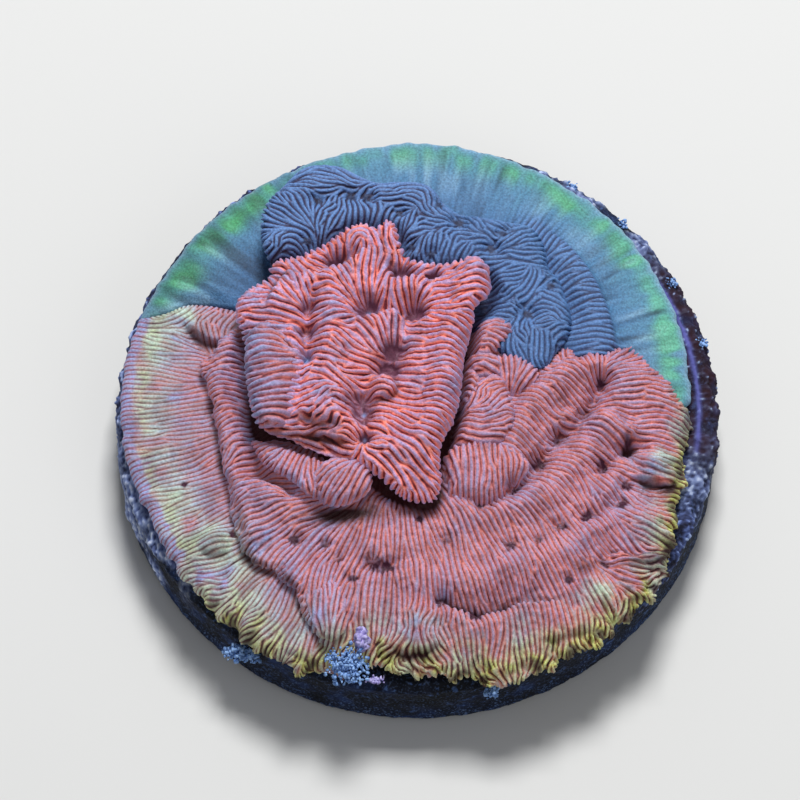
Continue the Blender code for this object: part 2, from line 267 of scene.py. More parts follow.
def ridgeField(grid, flow, spacing, seed, rounds=9, sharp=0.34):
    # Septal ridges: noise is combed again and again along the flow, which leaves even ridges
    # that fork and join as grown ones do. Gives 0 in a groove and 1 on a ridge.
    bins, narrow = 18, 0.13    # comb directions, and how strictly each keeps to its own, in radians
    step = grid["step"]
    across = (np.angle(flow) / 2 + math.pi / 2) % math.pi
    place = across / math.pi * bins
    wide = [-(-n // 32) * 32 + 32 for n in flow.shape]
    pads = [(0, wide[0] - flow.shape[0]), (0, wide[1] - flow.shape[1])]
    fx, fy = frequencies(wide, step)
    reach = np.hypot(fx, fy)
    band = np.exp(-0.5 * ((reach - 1 / spacing) * spacing / sharp) ** 2)
    turn = np.arctan2(fy, fx)
    combs, shares = [], []
    for k in range(bins):
        apart = (turn - k * math.pi / bins + math.pi / 2) % math.pi - math.pi / 2
        combs.append(band * np.exp(-0.5 * (apart / narrow) ** 2))
        gap = np.abs((place - k + bins / 2) % bins - bins / 2)
        shares.append(np.clip(1 - gap, 0, 1))
    field = np.random.default_rng(seed).standard_normal(flow.shape)
    for _ in range(rounds):
        spectrum = np.fft.rfft2(np.pad(field, pads, mode="reflect"))
        field = np.zeros(flow.shape)
        for comb, part in zip(combs, shares):
            if part.any():
                field += part * np.fft.irfft2(spectrum * comb, s=wide)[:flow.shape[0], :flow.shape[1]]
        level = np.sqrt(blur(field ** 2, spacing * 0.9, step)) + 1e-9
        field = np.tanh(1.3 * field / level)
    level = np.sqrt(2 * blur(field ** 2, spacing * 0.6, step)) + 1e-9
    top = 1.15
    return 0.5 + 0.5 * (np.clip(field / level, -top, top) / top)


def ridgeLift(ridge):
    # rounded ridges and narrow grooves, above and below the smooth form
    return ridge ** 0.6 - 0.55


# turning a field into a skin
def makeSkin(grid, inside, height, lifted, roll, floor, looks, hidden=None, pull=0.3):
    # inside is the distance in from the free edge, height the smooth form, lifted the relief along
    # its normal; the edge rolls over with radius roll and a skirt carries it down to the floor
    step = grid["step"]
    gy, gx = np.gradient(blur(inside, 0.12, step), step)
    size = np.hypot(gx, gy) + 1e-6
    gx, gy = gx / size, gy / size
    turned = np.clip(roll - inside, 0, roll * 2.25) / roll
    moved = np.where(turned > 0, roll * (1 - np.sin(turned)) - inside, 0)
    p = np.stack([grid["x"] + gx * moved, grid["y"] + gy * moved, height - roll * (1 - np.cos(turned))], -1)
    normal = np.cross(np.gradient(p, axis=1), np.gradient(p, axis=0))
    normal /= np.linalg.norm(normal, axis=-1, keepdims=True) + 1e-12
    p = p + normal * lifted[..., None]
    keep = inside > -roll * 1.2
    if hidden is not None:
        keep &= ~hidden
    cells = keep[:-1, :-1] & keep[1:, :-1] & keep[:-1, 1:] & keep[1:, 1:]
    used = np.zeros(keep.shape, bool)
    for dj, di in ((0, 0), (0, 1), (1, 0), (1, 1)):
        used[dj:dj + cells.shape[0], di:di + cells.shape[1]] |= cells
    number = np.full(keep.shape, -1)
    number[used] = np.arange(used.sum())
    quads = np.stack([number[:-1, :-1], number[:-1, 1:], number[1:, 1:], number[1:, :-1]], -1)[cells]
    # boundary edges, each with its kept cell on the left
    wide = np.pad(cells, 1)
    below, above = wide[:-1, 1:-1], wide[1:, 1:-1]
    left, right = wide[1:-1, :-1], wide[1:-1, 1:]
    edges = np.vstack([
        np.stack([number[:, :-1], number[:, 1:]], -1)[above & ~below],
        np.stack([number[:, 1:], number[:, :-1]], -1)[below & ~above],
        np.stack([number[1:, :], number[:-1, :]], -1)[right & ~left],
        np.stack([number[:-1, :], number[1:, :]], -1)[left & ~right],
    ])
    rim = np.unique(edges)
    top = p[used]
    inward = np.stack([gx[used], gy[used]], -1)[rim]
    rings, faces = [top], [quads]
    current = np.full(len(top), -1)
    current[rim] = rim
    for number, (shift, drop) in enumerate(((pull, 0.45), (pull * 2, 1.0))):
        ring = top[rim].copy()
        ring[:, :2] += inward * shift
        ring[:, 2] += (np.minimum(floor, ring[:, 2]) - ring[:, 2]) * drop
        lower = np.full(len(top), -1)
        lower[rim] = len(top) + number * len(rim) + np.arange(len(rim))
        first, second = edges.T
        faces.append(np.stack([current[second], current[first], lower[first], lower[second]], -1))
        current = lower
        rings.append(ring)
    values = {}
    for label, field in looks.items():
        kept = field[used]
        values[label] = np.concatenate([kept, kept[rim], kept[rim]])
    return np.vstack(rings), np.vstack(faces), values


def halves(part, x):
    # cuts a skin in two along a line of constant x; both keep the shared row of points
    points, quads, values = part
    west = points[quads].mean(1)[:, 0] < x
    for chosen in (quads[west], quads[~west]):
        used, again = np.unique(chosen, return_inverse=True)
        yield points[used], again.reshape(-1, 4), {label: field[used] for label, field in values.items()}


def makePiece(name, parts, node, material):
    # one mesh from one or more skins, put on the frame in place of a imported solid
    start, verts, faces = 0, [], []
    for points, quads, values in parts:
        verts.append(points)
        faces.append(quads + start)
        start += len(points)
    verts, faces = np.vstack(verts) * mm, np.vstack(faces)
    mesh = bpy.data.meshes.new(name)
    mesh.vertices.add(len(verts))
    mesh.vertices.foreach_set("co", verts.astype(np.float32).ravel())
    mesh.loops.add(faces.size)
    mesh.loops.foreach_set("vertex_index", faces.astype(np.int32).ravel())
    mesh.polygons.add(len(faces))
    mesh.polygons.foreach_set("loop_start", np.arange(0, faces.size, 4, dtype=np.int32))
    mesh.update(calc_edges=True)
    mesh.validate()
    mesh.shade_smooth()
    for label in parts[0][2]:
        values = np.concatenate([part[2][label] for part in parts])
        mesh.attributes.new(label, "FLOAT", "POINT").data.foreach_set("value", values.astype(np.float32))
    mesh.materials.append(material)
    piece = bpy.data.objects.new(name, mesh)
    bpy.context.scene.collection.objects.link(piece)
    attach(piece, "root")
    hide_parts(node)
    print("made", name, "with", 2 * len(faces), "triangles")


# shape of the whole growth
growth = {
    # rim of the coral about the disc's axis, as (degrees, radius)
    "rim": [
        (0, 13.75), (8, 13.7), (16, 13.9), (27, 14.05), (45, 14.3), (62, 14.4), (77, 14.6), (90, 14.7),
        (110, 14.6), (134, 14.7), (148, 14.65), (158, 14.75), (168, 14.85), (180, 14.85), (192, 14.8),
        (200, 14.6), (207, 14.55), (215, 14.8), (227, 14.9), (239, 15.25), (248, 15.4), (254, 14.7),
        (258, 13.8), (264, 14.15), (277, 14.5), (285, 15.3), (289, 15.6), (294, 15.35), (307, 15.5),
        (320, 15.4), (328, 14.9), (336, 14.1), (345, 13.75),
    ],
    # the rim's little curls: their height, how many go round, and the side where they are strongest
    "frill": 0.38, "frillWaves": (37, 61, 83, 113), "frillTowards": 275,
    "stepEdge": [
        (-8.9, 4.5), (-9.2, 3.9), (-9.7, 3.1), (-10.7, 1.7), (-10.45, 0.6), (-10.15, -0.8), (-9.9, -2.6),
        (-9.5, -4.5), (-9.15, -6.0), (-8.85, -7.4), (-8.35, -8.5), (-7.7, -9.1), (-6.9, -9.4),
        (-6.3, -10.1), (-5.8, -11.1), (-5.3, -11.8), (-4.95, -12.6), (-4.4, -13.6),
    ],
    "seam": [
        (13.65, -0.3), (13.1, 0.5), (12.4, 1.4), (11.6, 2.2), (10.7, 2.9), (9.8, 3.0), (9.3, 2.3), (8.7, 2.4),
        (8.1, 2.2), (7.8, 2.7), (7.3, 2.8), (6.9, 2.3), (6.2, 1.5), (5.2, 1.7), (4.3, 1.9), (4.0, 2.6),
        (3.0, 3.6), (2.4, 4.6), (1.6, 6.0), (-1.2, 7.0), (-3.8, 7.0), (-6.6, 6.0),
    ],
    "seamLeft": [(-8.9, 5.1), (-10.3, 5.4), (-11.6, 5.5), (-12.6, 5.1), (-13.6, 4.9)],
    # creamy and bluish patches as (x, y, half length, half width, turn, strength),
    # and pale mouths as (x, y, radius)
    "cream": [
        (-11.2, -9.4, 2.4, 1.7, 40, 0.9), (-12.3, -6.6, 1.5, 0.9, 70, 0.6), (-11.7, 5.0, 0.6, 0.6, 0, 0.9),
        (-9.9, -7.5, 0.9, 0.7, 0, 0.7),
        (-10.8, -11.2, 2.0, 0.8, -35, 0.8), (9.0, -10.4, 0.7, 0.7, -50, 1.0), (12.3, -3.3, 1.0, 0.6, 0, 0.95),
        (12.2, -7.0, 0.8, 0.8, 0, 0.7), (4.7, -14.9, 0.4, 0.8, 0, 0.8), (-1.4, -14.0, 1.0, 0.4, 0, 0.5),
        (-13.3, 3.6, 0.5, 1.0, 0, 0.8), (-12.5, 4.7, 1.0, 0.45, 0, 0.8), (-12.9, -4.8, 1.0, 0.8, 0, 0.6),
        (0.4, -12.3, 0.8, 0.6, 0, 0.5),
        (-9.4, -10.4, 1.6, 1.0, -35, 0.4), (-10.0, -8.8, 1.3, 0.9, -40, 0.9),
    ],
    "blue": [
        (-8.3, 1.2, 0.8, 2.0, 0, 0.7), (-8.1, -1.6, 0.5, 0.9, 0, 0.7), (0.1, -12.5, 0.9, 0.6, 0, 0.7),
        (1.4, -10.3, 0.5, 0.9, 0, 0.5), (-4.6, -12.0, 0.7, 0.8, 0, 0.6), (3.0, 5.6, 0.5, 0.6, 0, 0.5),
        (-8.0, -8.0, 0.5, 0.6, 0, 0.5), (-4.6, -1.0, 0.5, 0.4, 0, 0.6), (-3.9, 1.4, 0.5, 0.4, 0, 0.5),
        (-0.8, -3.7, 0.6, 0.5, 0, 0.5), (-1.4, 3.2, 0.4, 0.5, 0, 0.5), (1.9, -0.1, 0.4, 0.6, 0, 0.4),
        (-3.6, 5.9, 0.4, 0.5, 0, 0.5), (-4.4, 3.1, 0.6, 0.3, 0, 0.4), (11.5, -3.4, 0.9, 0.5, -20, 0.7),
        (9.0, -5.4, 1.0, 0.3, -40, 0.4), (-2.4, 8.0, 0.4, 0.3, 0, 0.4), (-10.4, -9.0, 1.1, 0.5, -40, 0.5),
    ],
    # where more of the orange flank shows
    "ember": [(-2.2, 0.6, 2.2, 3.0, 0, 0.15), (-4.4, -2.8, 2.4, 1.0, 0, 0.2)],
    "dots": [(-5.55, 1.25, 0.2), (-2.4, 4.0, 0.12), (-2.65, -1.55, 0.12), (-2.6, -2.85, 0.08),
    (-1.45, -5.6, 0.12)],
}


def rimRadius(degrees):
    angle, radius = np.array(growth["rim"], float).T
    angle = np.r_[angle - 360, angle, angle + 360]
    turn = np.asarray(degrees) % 360
    smoothing = (-3, -1.5, 0, 1.5, 3)    # degrees either side that are averaged
    even = np.mean([np.interp(turn + off, angle, np.tile(radius, 3)) for off in smoothing], axis=0)
    waves = growth["frillWaves"]
    wave = sum(np.sin(np.radians(turn * n + n * n)) for n in waves) / len(waves)
    low = np.clip(1.4 * np.cos(np.radians(turn - growth["frillTowards"])), 0.25, 1)
    return even + growth["frill"] * wave * low


def rimArc(start, stop, count):
    turn = np.radians(np.linspace(start, stop, count))
    radius = rimRadius(np.degrees(turn))
    return np.stack([radius * np.cos(turn), radius * np.sin(turn)], -1)


def rimShare(grid):
    # how far in from the growing rim, and the direction from the disc's axis in degrees
    turn = np.degrees(np.arctan2(grid["y"], grid["x"])) % 360
    return np.clip(rimRadius(turn) - np.hypot(grid["x"], grid["y"]), 0, 30), turn


def frontLoop(count):
    return np.vstack([smoothCurve(growth["stepEdge"]), rimArc(252, 359, count), smoothCurve(growth["seam"])])


def shelfLoop(count, shift):
    inner = np.array(growth["stepEdge"][::-1]) + shift
    return np.vstack([rimArc(160.5, 254, count), smoothCurve(inner), smoothCurve(growth["seamLeft"])])


def facing(turn, middle, steep, less=0):
    # 1 on the side that faces the middle direction, nought well away from it
    return smoothStep(steep * np.cos(np.radians(turn - middle)) - less)


def plateTop(inward, climb, reach):
    # the smooth top of a plate, which is thinnest where it grows
    return rimTop + climb * (1 - np.exp(-inward / reach)) - 0.12 * np.exp(-inward / 0.4)


def domed(depth, bulge=0.98):
    # nought at full depth, rounding off to about 1 at the edge
    return 1 - np.sqrt(1 - (1 - depth) ** 2 * bulge)


def lobeSkin(lobe, form, seed):
    # one free-edged lobe lying over its neighbours
    outline = np.array(lobe["outline"])
    g = makeGrid(outline.min(0) - 0.7, outline.max(0) + 0.7, form["step"])
    inside = insideLoop(g, outline)
    depth = np.clip(inside, 0, lobe["reach"]) / lobe["reach"]
    height = lobe["top"] - lobe["fall"] * domed(depth)
    cx, cy = outline.mean(0)
    height += lobe["tilt"][0] * (g["x"] - cx) + lobe["tilt"][1] * (g["y"] - cy) + relief(g, lobe)
    away = lineFields(g, smoothCurve(lobe["root"]))[0]    # where it grows out of its neighbour
    height -= 1.0 * bell(away, 0.55)
    mouths = lobe.get("pits", ())
    pits = pitField(g, mouths, 0.3)
    beside = lobe.get("beside", 0) * bell(besideCrown(g), 0.4)    # it also sinks away beside the crown
    height -= beside
    flow = flowField(g, lobe["strokes"], mouths, 0.5, stray=lobe.get("stray", 0.2), seed=seed)
    ridge = ridgeField(g, flow, form["spacing"], seed, rounds=8)
    # painted shade beside the crown, where the lobe grows out of its neighbour, and a given amount per lobe
    paintedShade = 0.8 * beside + 0.5 * bell(away, 0.2) * (1 - form["vivid"]) + lobe.get("shade", 0)
    looks = paintRed(g, ridge, pits, paintedShade=paintedShade, vivid=form["vivid"])
    lifted = form["lift"] * ridgeLift(ridge) * (1 + 0.6 * bell(inside, 0.25)) + graininess * noiseField(g, 0.2,
        seed)
    return makeSkin(g, inside, height - 0.25 * pits, lifted, form["roll"], form["floor"], looks, pull=0.25)


def besideCrown(g):
    # distance out from the crown's outline, nought under it
    return np.clip(-insideLoop(g, crown["outline"]), 0, 9)


def paintRed(g, ridge, pits, worn=0.0, paintedShade=0.0, vivid=0.0):
    # where the red tissue turns bluish, creamy or golden, and how much painted shade darkens it in recesses
    inward, turn = rimShare(g)
    patchy = noiseField(g, 1.1, 17)
    small = noiseField(g, 0.45, 18)
    streak = streakField(g, 1.3, 0.45, 39)
    low = facing(turn, 288, 1.5)
    west = facing(turn, 196, 2.2, 0.6) * (g["x"] < -4)
    outer = smoothStep((224 - turn) / 14)    # the lilac rim of the left side ends where the golden curls begin
    fleck = 1 + 0.3 * small

    golden = 0.65 + 0.85 * smoothStep((328 - turn) / 30) + 0.4 * patchy    # width of the golden rim
    gold = low * bell(inward, golden) * (1.0 + 0.35 * small)
    gold += west * outer * bell(inward - 0.95, 0.35) * (0.35 + 0.35 * patchy + 0.3 * streak)
    gold += 0.7 * bell(inward, 0.4) * (turn > 300)

    cream = west * bell(inward - 1.4, 0.95) * (0.6 + 0.4 * patchy + 0.3 * streak)
    cream = cream + low * bell(inward, 1.6) * 0.3 * small
    for spot in growth["cream"]:
        cream += knoll(g, *spot) * fleck

    blue = west * outer * smoothStep((0.72 - inward) / 0.32) + 0.4 * west * np.clip(streak, 0, 1)
    blue = blue + 0.22 * np.clip(patchy, 0, 2) + 0.1 * np.clip(small, 0, 2)
    for spot in growth["blue"]:
        blue += knoll(g, *spot) * fleck

    worn = worn + 0.24 * (1 - vivid) - 0.1 * smoothStep((g["x"] - 6) / 4)
    worn = worn + 0.35 * smoothStep((turn - 205) / 20) * (turn < 300) * bell(inward, 3)
    ember = spots(g, growth["ember"])
    # painted shade in the gaps between the curls of the low rim
    paintedShade = paintedShade + 0.85 * low * bell(inward, 0.65) * smoothStep(small - 0.05)
    looks = {
        "ridge": ridge * (1 - vivid * ember), "pit": pits * (1.1 + 0.3 * small - 0.45 * ridge), "gold": gold,
        "cream": cream, "blue": blue, "worn": worn, "paintedShade": paintedShade + 0 * ridge,
        "dot": sum(knoll(g, x, y, r, r, 0, 1) for x, y, r in growth["dots"]), "vivid": vivid + 0 * ridge,
    }
    return {name: np.clip(field, 0, 1) for name, field in looks.items()}


# the crown
crown = {
    "area": ((-9.8, -6.7), (4.3, 9.5)), "step": 0.046, "spacing": 0.345, "lift": 0.19, "roll": 0.33,
    "lip": 7.7, "dome": 0.7, "domeReach": 1.1, "floor": 6.1, "pitDepth": 0.55, "wander": 0.17, "grain": 0.028,
    "outline": [
        (3.4, 6.2), (3.6, 5.5), (3.5, 4.9), (2.9, 4.1), (2.6, 2.8), (2.25, 1.4), (2.15, 0.2), (1.95, -1.2),
        (1.6, -2.2), (1.1, -3.4), (1.05, -4.4), (1.1, -5.2), (0.8, -5.9), (0.0, -6.0), (-0.8, -5.7),
        (-1.5, -5.1), (-2.2, -4.6), (-2.9, -4.1), (-3.5, -3.9), (-4.6, -3.5), (-5.9, -3.0), (-7.0, -2.6),
        (-7.8, -2.2), (-8.15, -1.5), (-8.3, -0.6), (-8.4, 0.6), (-8.5, 1.8), (-8.7, 2.9), (-9.0, 3.8),
        (-8.9, 4.6), (-8.3, 5.3), (-7.4, 5.9), (-7.2, 6.6), (-6.3, 6.9), (-5.6, 7.1), (-4.8, 7.5),
        (-4.0, 8.1), (-3.3, 8.6), (-2.6, 8.7), (-2.1, 8.5), (-1.6, 8.8), (-1.1, 8.5), (-0.9, 7.7),
        (-0.5, 7.0), (0.4, 6.7), (1.4, 6.6), (2.6, 6.7),
    ],
    "crests": [
        ([(3.0, 5.9), (2.4, 4.2), (1.75, 2.4), (1.5, 1.0), (1.25, -0.6), (0.75, -2.2), (0.2, -3.6)], 0.85, 1.0,
        0.9),
        ([(-4.4, 5.2), (-4.25, 3.5), (-4.15, 1.8), (-4.2, 0.2), (-4.5, -1.4)], 0.75, 0.75, 0.6),
        ([(-5.3, 5.0), (-5.45, 3.9), (-5.5, 2.7), (-5.55, 1.3), (-5.8, 0.0), (-6.0, -1.2), (-6.3, -2.2)], 0.3,
        -0.45, -0.3),
        ([(-2.4, 4.1), (-1.2, 3.9), (0.0, 3.9)], 0.4, -0.35, -0.35),
        ([(-0.4, 3.2), (-0.9, 2.0), (-1.2, 1.1), (-1.9, 0.6), (-2.6, -0.4), (-2.7, -1.4), (-2.65, -3.0)], 0.45,
        -0.35, -0.5),
        ([(-1.1, 6.15), (-0.2, 6.0), (0.9, 5.95), (1.7, 6.1)], 0.28, -0.4, -0.15),
        ([(-4.9, 6.4), (-4.0, 6.55), (-3.3, 6.95)], 0.25, -0.3, -0.3),
        ([(-2.2, -4.0), (-1.2, -4.7), (-0.2, -5.3), (0.8, -5.4)], 0.6, 0.25, 0.4),
        ([(-2.6, -3.6), (-1.6, -3.5)], 0.3, 0.25, 0.25),
    ],
    "knolls": [
        (-7.1, 0.4, 1.3, 2.3, 0, 0.35), (-8.2, 4.0, 0.7, 0.6, 15, 0.25), (-6.6, 6.4, 0.6, 0.35, 10, 0.3),
        (-2.9, 7.75, 0.85, 0.65, 20, 0.55), (-1.35, 8.0, 0.45, 0.7, 0, 0.35), (-0.2, 5.0, 0.6, 0.5, 0, 0.45),
        (-1.2, -3.7, 0.6, 0.45, -20, 0.3), (-1.75, -0.35, 0.5, 0.4, 0, 0.35), (0.2, -5.8, 1.8, 1.3, 0, -0.65),
    ],
    "ledges": [
        ([(-0.65, 2.9), (-0.85, 3.6), (-1.3, 3.75), (-1.9, 3.5), (-2.6, 3.45), (-3.4, 3.15)], 0.95),
        ([(-1.35, 5.3), (-1.2, 6.1), (-1.5, 6.8), (-2.0, 7.1), (-2.7, 6.95), (-3.4, 6.4), (-4.2, 6.0),
        (-5.2, 5.7)], 0.9),
        ([(-1.6, 7.1), (-1.8, 7.7), (-2.1, 8.5)], 0.5),
        ([(0.75, 5.2), (0.3, 5.65), (-0.4, 5.75), (-1.1, 5.6)], 0.6),
        ([(-5.6, 5.7), (-6.4, 5.9), (-7.0, 5.3), (-7.3, 4.6), (-7.6, 3.7)], 0.7),
        ([(-5.7, 1.8), (-6.0, 2.5), (-6.8, 2.95), (-7.7, 3.05), (-8.4, 2.6), (-8.7, 2.0)], 0.6),
        ([(-2.5, -1.05), (-1.9, -1.0), (-1.3, -0.8), (-1.1, -0.3), (-1.5, 0.25), (-2.2, 0.35), (-2.9, 0.1)],
        0.65),
        ([(-6.4, -2.2), (-5.6, -1.9), (-4.9, -2.3), (-4.2, -2.2), (-3.5, -2.6)], 0.6),
        ([(-5.8, -2.7), (-4.8, -2.8), (-4.0, -3.1), (-3.3, -3.3)], 0.5),
        ([(-4.6, -0.9), (-3.9, -1.2), (-3.3, -1.0)], 0.3),
    ],
    "pits": [
        (-4.0, 6.55, 1.1), (-2.45, 4.05, 1.5), (-0.85, 6.1, 1.1), (0.85, 5.95, 0.7), (-0.1, 3.85, 1.1),
        (-5.45, 3.9, 0.8), (-5.5, 2.7, 0.9), (-5.55, 1.25, 0.7), (-1.15, 1.65, 1.2), (-1.45, 0.75, 1.3),
        (-2.75, -1.0, 1.3), (-2.65, -1.7, 1.2), (-2.6, -2.95, 0.7),
    ],
    # the shaded hollow under the lower left edge, whose layers have ridges along them
    "hollow": (-5.9, -2.8, 2.8, 0.4, -9, 0.6), "layered": (-5.4, -2.9, 3.4, 1.2, -8, 1),
    # ridges wander most where the folds crowd together, as (x, y, half width, half height, turn, amount)
    "wild": [(-4.3, 0.0, 1.0, 2.2, 0, 0.35), (-4.6, -2.3, 1.8, 0.8, 0, 0.6), (-3.0, 7.7, 0.8, 0.6, 0, 0.3),
    (-1.4, -3.6, 0.9, 0.5, 0, 0.3)],
    "strokes": [
        [(-0.6, 0.2), (0.6, -0.2), (2.0, -0.3)], [(-0.5, 2.3), (0.6, 2.1), (2.2, 2.0)],
        [(-0.5, 1.3), (0.8, 1.0), (2.1, 1.2)], [(-0.9, -0.6), (0.4, -1.2), (1.7, -1.5)],
        [(-1.9, -1.5), (-0.8, -1.8), (0.4, -2.5), (1.3, -2.8)],
        [(-1.8, -2.2), (-0.6, -2.8), (0.4, -3.5), (0.9, -3.6)],
        [(-0.1, 3.2), (1.0, 3.1), (2.5, 3.0)], [(0.3, 4.1), (1.5, 4.1), (2.8, 4.3)],
        [(0.9, 5.0), (2.0, 4.9), (3.2, 5.1)],
        [(1.1, 5.5), (2.2, 5.7), (3.4, 6.0)], [(0.9, 5.9), (1.7, 6.2), (2.6, 6.5)],
        [(-0.1, 4.1), (0.4, 4.8), (0.7, 5.4)], [(-0.2, 4.2), (-0.3, 5.0), (-0.3, 5.6)],
        [(-0.7, 4.2), (-0.9, 4.8), (-0.9, 5.5)],
        [(-1.9, 4.4), (-1.6, 5.2), (-1.4, 6.0)], [(-2.4, 4.5), (-2.6, 5.3), (-2.5, 6.3)],
        [(-2.9, 4.3), (-3.5, 5.1), (-4.0, 5.9)], [(-3.1, 3.9), (-4.0, 4.4), (-4.8, 4.6)],
        [(-4.3, 6.6), (-5.0, 6.7), (-5.7, 6.9)], [(-4.1, 6.9), (-4.2, 7.4), (-4.3, 7.8)],
        [(-3.6, 7.0), (-3.7, 7.8)],
        [(-3.8, 7.3), (-3.5, 7.9), (-2.9, 8.2), (-2.3, 8.0), (-2.1, 7.5)],
        [(-3.3, 7.4), (-3.0, 7.8), (-2.6, 7.8), (-2.5, 7.4)],
        [(-2.1, 8.6), (-1.8, 8.0), (-1.4, 7.3)], [(-1.6, 8.7), (-1.3, 8.0), (-1.0, 7.2)],
        [(-1.1, 8.3), (-0.8, 7.6)], [(-0.4, 6.2), (0.4, 6.6)], [(-1.6, 6.2), (-1.3, 6.8)],
        [(-5.2, 3.9), (-4.4, 3.8), (-3.7, 4.0)], [(-5.3, 3.0), (-4.4, 2.9), (-3.4, 3.2)],
        [(-5.1, 2.2), (-4.3, 2.3), (-3.4, 2.0)], [(-5.1, 1.5), (-4.2, 1.2), (-3.3, 1.1)],
        [(-4.9, 0.5), (-4.0, 0.2), (-3.2, 0.4)], [(-4.8, -0.1), (-4.0, -0.4), (-3.2, -0.5)],
        [(-5.2, -0.9), (-4.4, -1.1), (-3.4, -1.0)], [(-5.6, -1.6), (-4.8, -1.9), (-4.0, -1.6), (-3.2, -1.6)],
        [(-6.4, -2.3), (-5.4, -2.5), (-4.6, -2.3), (-3.5, -2.5)],
        [(-6.6, -2.7), (-5.4, -3.0), (-4.4, -3.2), (-3.4, -3.4)],
        [(-5.0, -3.4), (-4.2, -3.6), (-3.4, -3.8)],
        [(-5.8, 4.2), (-6.5, 4.8), (-7.0, 5.5)], [(-5.6, 4.4), (-5.8, 5.4)],
        [(-5.8, 3.9), (-6.8, 4.0), (-7.5, 4.3)],
        [(-7.6, 4.9), (-8.5, 4.7)], [(-7.6, 3.6), (-8.9, 3.7)], [(-6.1, 5.9), (-6.9, 6.3)],
        [(-5.7, 1.7), (-6.2, 2.4), (-7.2, 2.7), (-8.2, 2.6)], [(-5.9, 1.4), (-7.0, 1.6), (-8.5, 1.5)],
        [(-5.9, 1.0), (-7.0, 0.8), (-8.5, 0.5)], [(-5.8, 0.5), (-7.0, -0.1), (-8.4, -0.3)],
        [(-5.8, 0.0), (-6.6, -0.6), (-8.3, -0.9)], [(-5.8, -0.9), (-7.0, -1.4), (-8.1, -1.6)],
        [(-1.5, 2.0), (-1.7, 2.7), (-2.0, 3.3)], [(-1.9, 1.7), (-2.5, 2.3), (-2.9, 3.1)],
        [(-1.1, 2.1), (-1.1, 3.3)],
        [(-1.8, 1.3), (-2.5, 1.1), (-3.2, 1.2)], [(-2.2, -3.2), (-1.2, -4.0), (-0.2, -4.6), (0.6, -5.3)],
        [(-1.0, -3.3), (0.0, -3.9), (0.9, -4.6)], [(-2.4, -3.6), (-1.5, -4.5), (-0.6, -5.2), (-0.2, -5.7)],
        [(-2.7, -3.3), (-3.0, -3.9)],
    ],
    "lobeForm": {"roll": 0.22, "floor": 7.3, "vivid": 0.25},
    "lobes": [
        {"outline": [(-8.45, 1.8), (-8.1, 2.7), (-7.4, 3.05), (-6.5, 2.85), (-5.9, 2.2), (-5.5, 1.5),
        (-5.4, 0.6),
                     (-5.7, -0.8), (-6.1, -1.9), (-7.0, -2.4), (-7.75, -2.25), (-8.2, -1.5), (-8.35, -0.6),
                     (-8.5, 0.6)],
         "top": 8.9, "fall": 0.75, "reach": 1.3, "tilt": (-0.2, 0.0), "shade": 0.1,
         "root": [(-5.3, 2.2), (-5.2, 0.6), (-5.5, -0.8), (-6.0, -2.2)],
         "strokes": [[(-5.6, 1.8), (-6.2, 2.5), (-7.2, 2.8), (-8.0, 2.6)],
         [(-5.8, 1.5), (-6.8, 2.0), (-8.5, 1.9)],
                     [(-5.9, 1.3), (-7.0, 1.4), (-8.6, 1.1)], [(-5.9, 1.0), (-7.0, 0.7), (-8.6, 0.4)],
                     [(-5.8, 0.6), (-7.0, 0.0), (-8.5, -0.2)], [(-5.8, 0.0), (-6.6, -0.6), (-8.3, -0.8)],
                     [(-5.9, -0.8), (-7.0, -1.2), (-8.3, -1.4)], [(-6.1, -1.6), (-7.0, -1.9), (-7.9, -2.0)]]},
    ],
}


def crownParts():
    g = makeGrid(*crown["area"], crown["step"])
    inside = insideLoop(g, crown["outline"])
    inward = np.clip(inside, 0, None)
    base = crown["lip"] + crown["dome"] * (1 - np.exp(-inward / crown["domeReach"])) + 0.02 * g["y"]
    pits = pitField(g, crown["pits"], 0.4)
    height = base + relief(g, crown) - crown["pitDepth"] * pitField(g, crown["pits"], 0.42)
    height = height + 0.06 * noiseField(g, 0.9, 9)
    stray = crown["wander"] + spots(g, crown["wild"])
    square = 0.85 * (1 - knoll(g, *crown["layered"]))
    flow = flowField(g, crown["strokes"], crown["pits"], 0.42, inside, stray, 2, square)
    ridge = ridgeField(g, flow, crown["spacing"], 11)
    # painted shade under the crown's ledges and in the hollow under its lower left edge
    paintedShade = 0.6 * creases(g, crown) + knoll(g, *crown["hollow"])
    looks = paintRed(g, ridge, pits, paintedShade=paintedShade, vivid=1.0)
    uneven = 1 + 0.22 * noiseField(g, 0.7, 19)
    lifted = crown["lift"] * ridgeLift(ridge) * (1 - 0.85 * pits) * (uneven + 0.8 * bell(inside, 0.3))
    lifted += crown["grain"] * noiseField(g, 0.2, 20)
    height = blur(height, 0.05, g["step"])
    parts = [makeSkin(g, inside, height, lifted, crown["roll"], crown["floor"], looks)]
    for seed, lobe in enumerate(crown["lobes"]):
        parts.append(lobeSkin(lobe, {**crown, **crown["lobeForm"]}, 50 + seed))
    return parts


